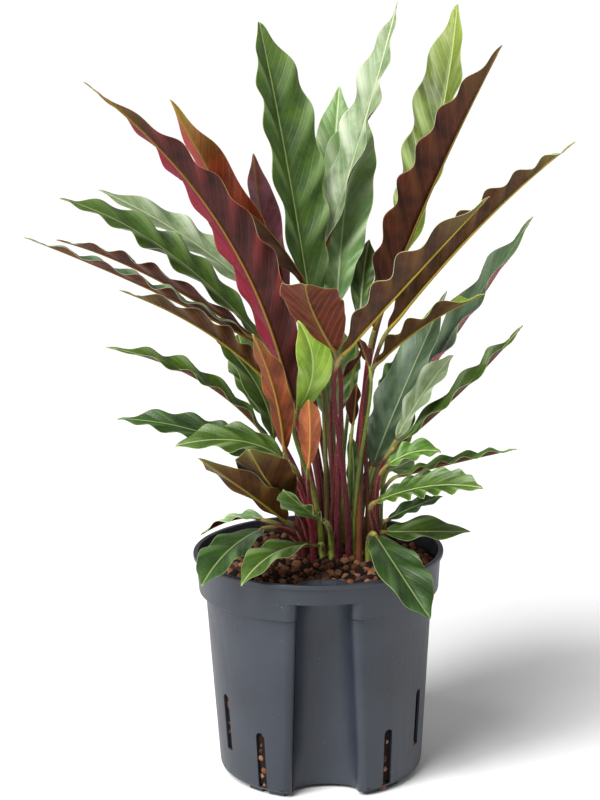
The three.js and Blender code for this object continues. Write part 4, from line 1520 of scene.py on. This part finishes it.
@dataclass
class CulturePot:
    """A slotted culture pot with a channel for a water gauge moulded into its front."""

    height: float = 200.0
    foot_height: float = 3.0
    wall: float = 2.0
    floor: float = 2.5
    rim_radius: float = 110.0
    bead: float = 4.0
    band_top: float = 107.5
    band_foot: float = 105.5
    band_foot_z: float = 166.5
    bridge_foot_z: float = 182.0
    bridge_radius: float = 106.6
    step_radius: float = 99.7
    step_z: float = 163.5
    base_radius: float = 90.0
    base_corner: float = 5.0
    turn: float = math.radians(2)
    groove_depth: float = 32.0
    groove_half_top: float = 22.6
    groove_half_base: float = 28.0
    shoulder: float = 8.0
    trough_gap: float = 7.0
    trough_mouth_y: float = -87.0
    trough_depth: float = 20.0
    mouth_inset: float = 0.5
    groove_reach: float = 1.25
    slot_width: float = 8.8
    slot_height: float = 51.5
    slot_start: float = math.radians(36.7)
    slot_pitch: float = math.radians(26.2)
    low_slot: float = 6.5
    high_slot: float = 31.0
    foot_inner: float = 78.0
    foot_outer: float = 84.5
    foot_span: float = 10.0
    foot_centres: tuple[float, ...] = (30, 45, 90, 105, 150, 165)
    pad_radius: float = 9.0
    sides: int = 168

    def slots(self) -> list[tuple[float, float]]:
        """Angle from the front and lower end of each slot."""
        found = []
        for pair in range(1, 7):
            angle = self.slot_start + (pair - 1) * self.slot_pitch
            bottom = self.low_slot if pair % 2 else self.high_slot
            found += [(self.turn + angle, bottom), (self.turn - angle, bottom)]
        return found

    def radius_at(self, z: float) -> float:
        """Outer radius of the tapered wall at a height."""
        share = z / self.step_z
        return self.base_radius + (self.step_radius - self.base_radius) * share

    def in_trough(self, x: float, y: float) -> bool:
        """Whether a place at the filling's top lies in the gauge channel or its wall.

        Args:
            x: Across the pot.
            y: Towards the back.

        Returns:
            True where no clay lies.
        """
        cos, sin = math.cos(self.turn), math.sin(self.turn)
        across, ahead = x * cos + y * sin, -x * sin + y * cos
        half = self.groove_half_top + self.wall + 1
        bulge = math.sqrt(max(0.0, 1 - (across / half) ** 2))
        bowl = self.trough_mouth_y + (self.trough_depth + self.wall + 1.5) * bulge
        return abs(across) < half and ahead < bowl

    def rounded(self, corners: list[tuple[float, float, float]], steps: int = 4) -> list[tuple]:
        """Rounds the corners of a profile.

        Args:
            corners: Radius, height and how far back from the corner its rounding starts.
            steps: Points in each rounding.

        Returns:
            The profile's points.
        """
        points = []
        for index, (r, z, back) in enumerate(corners):
            if back == 0 or index in (0, len(corners) - 1):
                points.append((r, z))
                continue
            here = np.array([r, z])
            before = np.array(corners[index - 1][:2]) - here
            after = np.array(corners[index + 1][:2]) - here
            start = here + before / np.linalg.norm(before) * back
            end = here + after / np.linalg.norm(after) * back
            for s in np.linspace(0, 1, steps):
                points.append(tuple((1 - s) ** 2 * start + 2 * s * (1 - s) * here + s * s * end))
        return points

    def turned(self, profile: list[tuple], name: str) -> bpy.types.Object:
        """A closed solid turned about Z.

        Args:
            profile: Radii and heights, from a point on the axis to another.
            name: The solid's name.

        Returns:
            The solid.
        """
        mesh = bmesh.new()
        rings = []
        for r, z in profile:
            if r < 1e-6:
                rings.append([mesh.verts.new((0, 0, z * MM))])
                continue
            turns = (2 * math.pi * k / self.sides for k in range(self.sides))
            rings.append(
                [mesh.verts.new((math.cos(a) * r * MM, math.sin(a) * r * MM, z * MM)) for a in turns]
            )
        for low, high in zip(rings, rings[1:]):
            for k in range(self.sides):
                after = (k + 1) % self.sides
                feet = [low[k % len(low)], low[after % len(low)]]
                tops = [high[after % len(high)], high[k % len(high)]]
                corners = list(dict.fromkeys(feet + tops))
                if len(corners) > 2:
                    mesh.faces.new(corners)
        return self.solid(mesh, name)

    def lofted(
        self, lower: list, low_z: float, upper: list, high_z: float, name: str
    ) -> bpy.types.Object:
        """A closed solid between two outlines of equally many points.

        Args:
            lower: The lower outline.
            low_z: Its height.
            upper: The upper outline.
            high_z: Its height.
            name: The solid's name.

        Returns:
            The solid.
        """
        mesh = bmesh.new()
        feet = [mesh.verts.new((x * MM, y * MM, low_z * MM)) for x, y in lower]
        tops = [mesh.verts.new((x * MM, y * MM, high_z * MM)) for x, y in upper]
        count = len(feet)
        for k in range(count):
            after = (k + 1) % count
            mesh.faces.new([feet[k], feet[after], tops[after], tops[k]])
        mesh.faces.new(feet)
        mesh.faces.new(tops)
        return self.solid(mesh, name)

    def solid(self, mesh: bmesh.types.BMesh, name: str) -> bpy.types.Object:
        """Closes a mesh into an object with its faces outwards."""
        bmesh.ops.recalc_face_normals(mesh, faces=mesh.faces)
        data = bpy.data.meshes.new(name)
        mesh.to_mesh(data)
        mesh.free()
        return object_of(name, data)

    def combined(
        self, base: bpy.types.Object, tool: bpy.types.Object, how: str
    ) -> bpy.types.Object:
        """Cuts, joins or keeps what two solids share, and discards the tool.

        Args:
            base: The solid that is changed.
            tool: The solid that changes it.
            how: DIFFERENCE, UNION or INTERSECT.

        Returns:
            The changed solid.
        """
        modifier = base.modifiers.new(how, "BOOLEAN")
        modifier.operation = how
        modifier.solver = "MANIFOLD"
        modifier.object = tool
        data = evaluated_mesh(base)
        base.modifiers.clear()
        old = base.data
        base.data = data
        bpy.data.meshes.remove(old)
        discard(tool)
        return base

    def groove_outline(self, z: float, offset: float, mouth_radius: float = 0.0) -> list:
        """The channel's outline at a height, pushed into the wall by an offset.

        Args:
            z: The height.
            offset: How far it is pushed into the wall.
            mouth_radius: Pot radius that rounded shoulders run out to, or 0 for a straight mouth.

        Returns:
            Points round the outline.
        """
        share = z / self.step_z
        half_width = self.groove_half_base + (self.groove_half_top - self.groove_half_base) * share
        wall_radius = self.radius_at(z)
        centre_x = half_width + self.shoulder
        bowl_y = -math.sqrt((wall_radius - self.shoulder) ** 2 - centre_x**2)
        across = half_width + offset
        half = []
        if mouth_radius:
            centre_y = -math.sqrt((mouth_radius - self.shoulder) ** 2 - centre_x**2)
            start = math.atan2(centre_y, centre_x) + math.radians(0.5 * offset)
            mouth = mouth_radius * self.groove_reach
            half.append((math.cos(start) * mouth, math.sin(start) * mouth))
            arc = self.shoulder - offset
            for k in range(13):
                a = start + (-math.pi - start) * k / 12
                half.append((centre_x + math.cos(a) * arc, centre_y + math.sin(a) * arc))
        else:
            half.append((across, -wall_radius * self.groove_reach))
        start_y = bowl_y + self.mouth_inset
        half.append((across, start_y))
        bottom = self.groove_depth - wall_radius - start_y + offset
        for k in range(1, 15):
            a = math.pi / 2 * k / 14
            half.append((math.cos(a) * across, start_y + math.sin(a) * bottom))
        outline = half + [(-x, y) for x, y in reversed(half[:-1])]
        cos, sin = math.cos(self.turn), math.sin(self.turn)
        return [(x * cos - y * sin, x * sin + y * cos) for x, y in outline]

    def groove(self, offset: float, low_z: float, high_z: float) -> bpy.types.Object:
        """The channel as a solid: shouldered below the bridging band, straight behind it.

        Args:
            offset: How far it is pushed into the wall.
            low_z: Its lower end.
            high_z: Its upper end.

        Returns:
            The solid.
        """
        levels = [
            (low_z, self.radius_at(low_z)),
            (self.step_z + offset, self.step_radius),
            (self.band_foot_z + offset, self.band_foot),
            (self.bridge_foot_z + offset, self.bridge_radius),
        ]
        behind = self.bridge_foot_z - 1
        whole = self.lofted(
            self.groove_outline(behind, offset), behind,
            self.groove_outline(high_z, offset), high_z, "groove",
        )
        for (low, low_radius), (high, high_radius) in zip(levels, levels[1:]):
            part = self.lofted(
                self.groove_outline(low, offset, low_radius), low,
                self.groove_outline(high, offset, high_radius), high, "part",
            )
            self.combined(whole, part, "UNION")
        return whole

    def slot(self, angle: float, bottom: float) -> bpy.types.Object:
        """A round-topped cutter for one slot.

        Args:
            angle: Where it stands, from the front.
            bottom: Its lower end.

        Returns:
            The cutter.
        """
        half = self.slot_width / 2
        shape = [(-half, bottom), (half, bottom)]
        for k in range(13):
            a = math.pi * k / 12
            shape.append((half * math.cos(a), bottom + self.slot_height - half + half * math.sin(a)))
        mesh = bmesh.new()
        reach = 15
        near, far = self.step_radius + reach, self.step_radius - reach
        cos, sin = math.cos(angle), math.sin(angle)
        ends = []
        for depth in (near, far):
            ends.append(
                [
                    mesh.verts.new(Vector((x * cos + depth * sin, x * sin - depth * cos, z)) * MM)
                    for x, z in shape
                ]
            )
        count = len(shape)
        for k in range(count):
            after = (k + 1) % count
            mesh.faces.new([ends[0][k], ends[0][after], ends[1][after], ends[1][k]])
        mesh.faces.new(ends[0])
        mesh.faces.new(ends[1])
        return self.solid(mesh, "slot")

    def foot(self, angle: float) -> bpy.types.Object:
        """One short arc under the floor."""
        turns = [math.radians(angle + self.foot_span * (k / 8 - 0.5)) + self.turn for k in range(9)]
        rim = [(math.sin(a) * self.foot_outer, -math.cos(a) * self.foot_outer) for a in turns]
        hem = [(math.sin(a) * self.foot_inner, -math.cos(a) * self.foot_inner) for a in turns]
        outline = rim + hem[::-1]
        return self.lofted(outline, 0, outline, self.foot_height + self.floor / 2, "foot")

    def outer(self) -> list[tuple[float, float, float]]:
        """Corners of the outside, from the middle of the floor up to the rim."""
        base, rim = self.foot_height, self.height - self.bead
        return [
            (0, base, 0),
            (self.base_radius - self.base_corner * 0.4, base, self.base_corner * 0.9),
            (self.base_radius, base + self.base_corner, self.base_corner * 0.5),
            (self.step_radius, self.step_z, 0.8),
            (self.band_foot, self.band_foot_z, 0.5),
            (self.band_top, rim, 0.4),
            (self.rim_radius - 0.4, rim, 0.5),
            (self.rim_radius, rim + 1.0, 0.6),
            (self.rim_radius, self.height, 1.1),
        ]

    def build(self) -> bpy.types.Object:
        """Turns, cuts and dresses the pot.

        Returns:
            The pot's object, which stands for its node.
        """
        above = self.height + 5
        floor_z = self.foot_height + self.floor
        inner = [
            (self.band_top - self.wall, self.height, 1.0),
            (self.band_foot - self.wall, self.band_foot_z + self.wall, 1.0),
            (self.step_radius - self.wall, self.step_z + self.wall, 1.0),
            (self.base_radius - self.wall, self.foot_height + self.base_corner, 1.5),
            (self.base_radius - self.base_corner, floor_z, 1.0),
            (0, floor_z, 0),
        ]
        pot = self.turned(self.rounded(self.outer() + inner), "fine_pot")
        whole = self.turned(self.rounded(self.outer() + [(0, self.height, 0)]), "whole")
        trough = self.groove(self.wall, self.foot_height, self.height - self.trough_gap)
        self.combined(trough, whole, "INTERSECT")
        self.combined(trough, self.groove(0, -1, above), "DIFFERENCE")
        bridge = self.turned(
            [(0, self.bridge_foot_z), (self.rim_radius + 5, self.bridge_foot_z),
             (self.rim_radius + 5, above), (0, above)],
            "bridge",
        )
        opening = self.groove(0, -1, above)
        self.combined(opening, bridge, "DIFFERENCE")
        self.combined(pot, opening, "DIFFERENCE")
        self.combined(pot, trough, "UNION")
        for angle, bottom in self.slots():
            self.combined(pot, self.slot(angle, bottom), "DIFFERENCE")
        for centre in self.foot_centres:
            self.combined(pot, self.foot(centre), "UNION")
            self.combined(pot, self.foot(-centre), "UNION")
        pad = [
            (math.cos(a) * self.pad_radius, math.sin(a) * self.pad_radius)
            for a in np.linspace(0, 2 * math.pi, 32, endpoint=False)
        ]
        pad_top = self.foot_height + self.floor / 2
        self.combined(pot, self.lofted(pad, 0, pad, pad_top, "pad"), "UNION")
        self.smooth(pot)
        pot.data.materials.clear()
        pot.data.materials.append(MouldedPlastic().material())
        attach(pot, "root")
        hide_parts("pot")
        LOG.info("pot: %d faces", len(pot.data.polygons))
        return pot

    def smooth(self, piece: bpy.types.Object, limit: float = 28.0) -> None:
        """Shades a piece smoothly but for its sharp edges.

        Args:
            piece: The piece.
            limit: The angle in degrees from which an edge is sharp.
        """
        mesh = bmesh.new()
        mesh.from_mesh(piece.data)
        bmesh.ops.remove_doubles(mesh, verts=mesh.verts, dist=0.01 * MM)
        for face in mesh.faces:
            face.smooth = True
        for edge in mesh.edges:
            edge.smooth = edge.is_manifold and edge.calc_face_angle(math.pi) < math.radians(limit)
        mesh.to_mesh(piece.data)
        mesh.free()


@dataclass
class Studio:
    """The photograph's view, a pale floor and soft light from the front left."""

    eye: tuple[float, float, float] = (-14.1, -1900.0, 770.0)
    pitch: float = math.radians(12.92)
    roll: float = math.radians(-0.85)
    focal_px: float = 2249.0
    frame_px: float = 800.0
    sensor: float = 36.0
    floor_half: float = 60.0
    surround: float = 0.36
    window_strength: float = 3.1
    window_spread: float = math.radians(32)
    window_heading: tuple[float, float, float] = (0.5, 0.6, -1.0)
    key_place: tuple[float, float, float] = (-1.6, -1.2, 1.3)
    key_size: float = 0.7
    key_watts: float = 30.0

    def camera(self) -> None:
        """Places the camera at the photograph's viewing angle."""
        data = bpy.data.cameras.new("camera")
        data.sensor_width = self.sensor
        data.sensor_fit = "AUTO"
        data.lens = self.sensor * self.focal_px / self.frame_px
        data.clip_start, data.clip_end = 0.05, 50
        camera = bpy.data.objects.new("camera", data)
        bpy.context.scene.collection.objects.link(camera)
        ahead = Vector((0, math.cos(self.pitch), -math.sin(self.pitch)))
        level = Vector((1, 0, 0))
        up = Vector((0, math.sin(self.pitch), math.cos(self.pitch)))
        right = level * math.cos(self.roll) + up * math.sin(self.roll)
        top = up * math.cos(self.roll) - level * math.sin(self.roll)
        turn = Matrix((right, top, -ahead)).transposed().to_4x4()
        camera.matrix_world = Matrix.Translation(Vector(self.eye) * MM) @ turn
        bpy.context.scene.camera = camera

    def lamp(self, name: str, place: tuple, target: tuple, size: float, watts: float) -> None:
        """Adds one square soft lamp.

        Args:
            name: The lamp's name.
            place: Where it stands.
            target: What it faces.
            size: The length of its side.
            watts: Its power.
        """
        data = bpy.data.lights.new(name, "AREA")
        data.size = size
        data.energy = watts
        lamp = bpy.data.objects.new(name, data)
        bpy.context.scene.collection.objects.link(lamp)
        lamp.location = place
        lamp.rotation_mode = "QUATERNION"
        lamp.rotation_quaternion = (Vector(target) - Vector(place)).to_track_quat("-Z", "Y")

    def floor(self) -> None:
        """A pale, level floor that runs well past the frame."""
        mesh = bmesh.new()
        bmesh.ops.create_grid(mesh, x_segments=1, y_segments=1, size=self.floor_half)
        data = bpy.data.meshes.new("floor")
        mesh.to_mesh(data)
        mesh.free()
        floor = object_of("floor", data)
        floor.location = (0, 0, -0.0005)
        made, tree = new_material("matt_white_floor")
        shader = add_node(
            tree,
            "ShaderNodeBsdfPrincipled",
            {"Base Color": linear("#f6f6f6"), "Roughness": 0.9, "Specular IOR Level": 0.0},
        )
        add_node(tree, "ShaderNodeOutputMaterial", {"Surface": shader.outputs[0]})
        data.materials.append(made)

    def light(self) -> None:
        """A white surround, a wide soft window light and one lamp from the front left."""
        scene = bpy.context.scene
        scene.view_settings.view_transform = "Standard"
        scene.view_settings.look = "None"
        world = bpy.data.worlds.new("white_surround")
        scene.world = world
        world.use_nodes = True
        world.node_tree.nodes.clear()
        back = add_node(
            world.node_tree,
            "ShaderNodeBackground",
            {"Color": (1, 1, 1, 1), "Strength": self.surround},
        )
        add_node(world.node_tree, "ShaderNodeOutputWorld", {"Surface": back.outputs[0]})
        data = bpy.data.lights.new("window", "SUN")
        data.energy = self.window_strength
        data.angle = self.window_spread
        window = bpy.data.objects.new("window", data)
        scene.collection.objects.link(window)
        window.rotation_mode = "QUATERNION"
        window.rotation_quaternion = Vector(self.window_heading).to_track_quat("-Z", "Y")
        self.lamp("key", self.key_place, (0, 0, 0.35), self.key_size, self.key_watts)


def main() -> None:
    """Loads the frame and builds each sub-assembly."""
    logging.basicConfig(level=logging.INFO, format="%(message)s")
    for old in list(bpy.data.objects):
        bpy.data.objects.remove(old)
    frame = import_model()
    studio = Studio()
    studio.camera()
    studio.floor()
    studio.light()
    pot = CulturePot()
    pot.build()
    Granules().build(pot, frame["nodes"])
    Foliage().build()


if __name__ == "__main__":
    main()
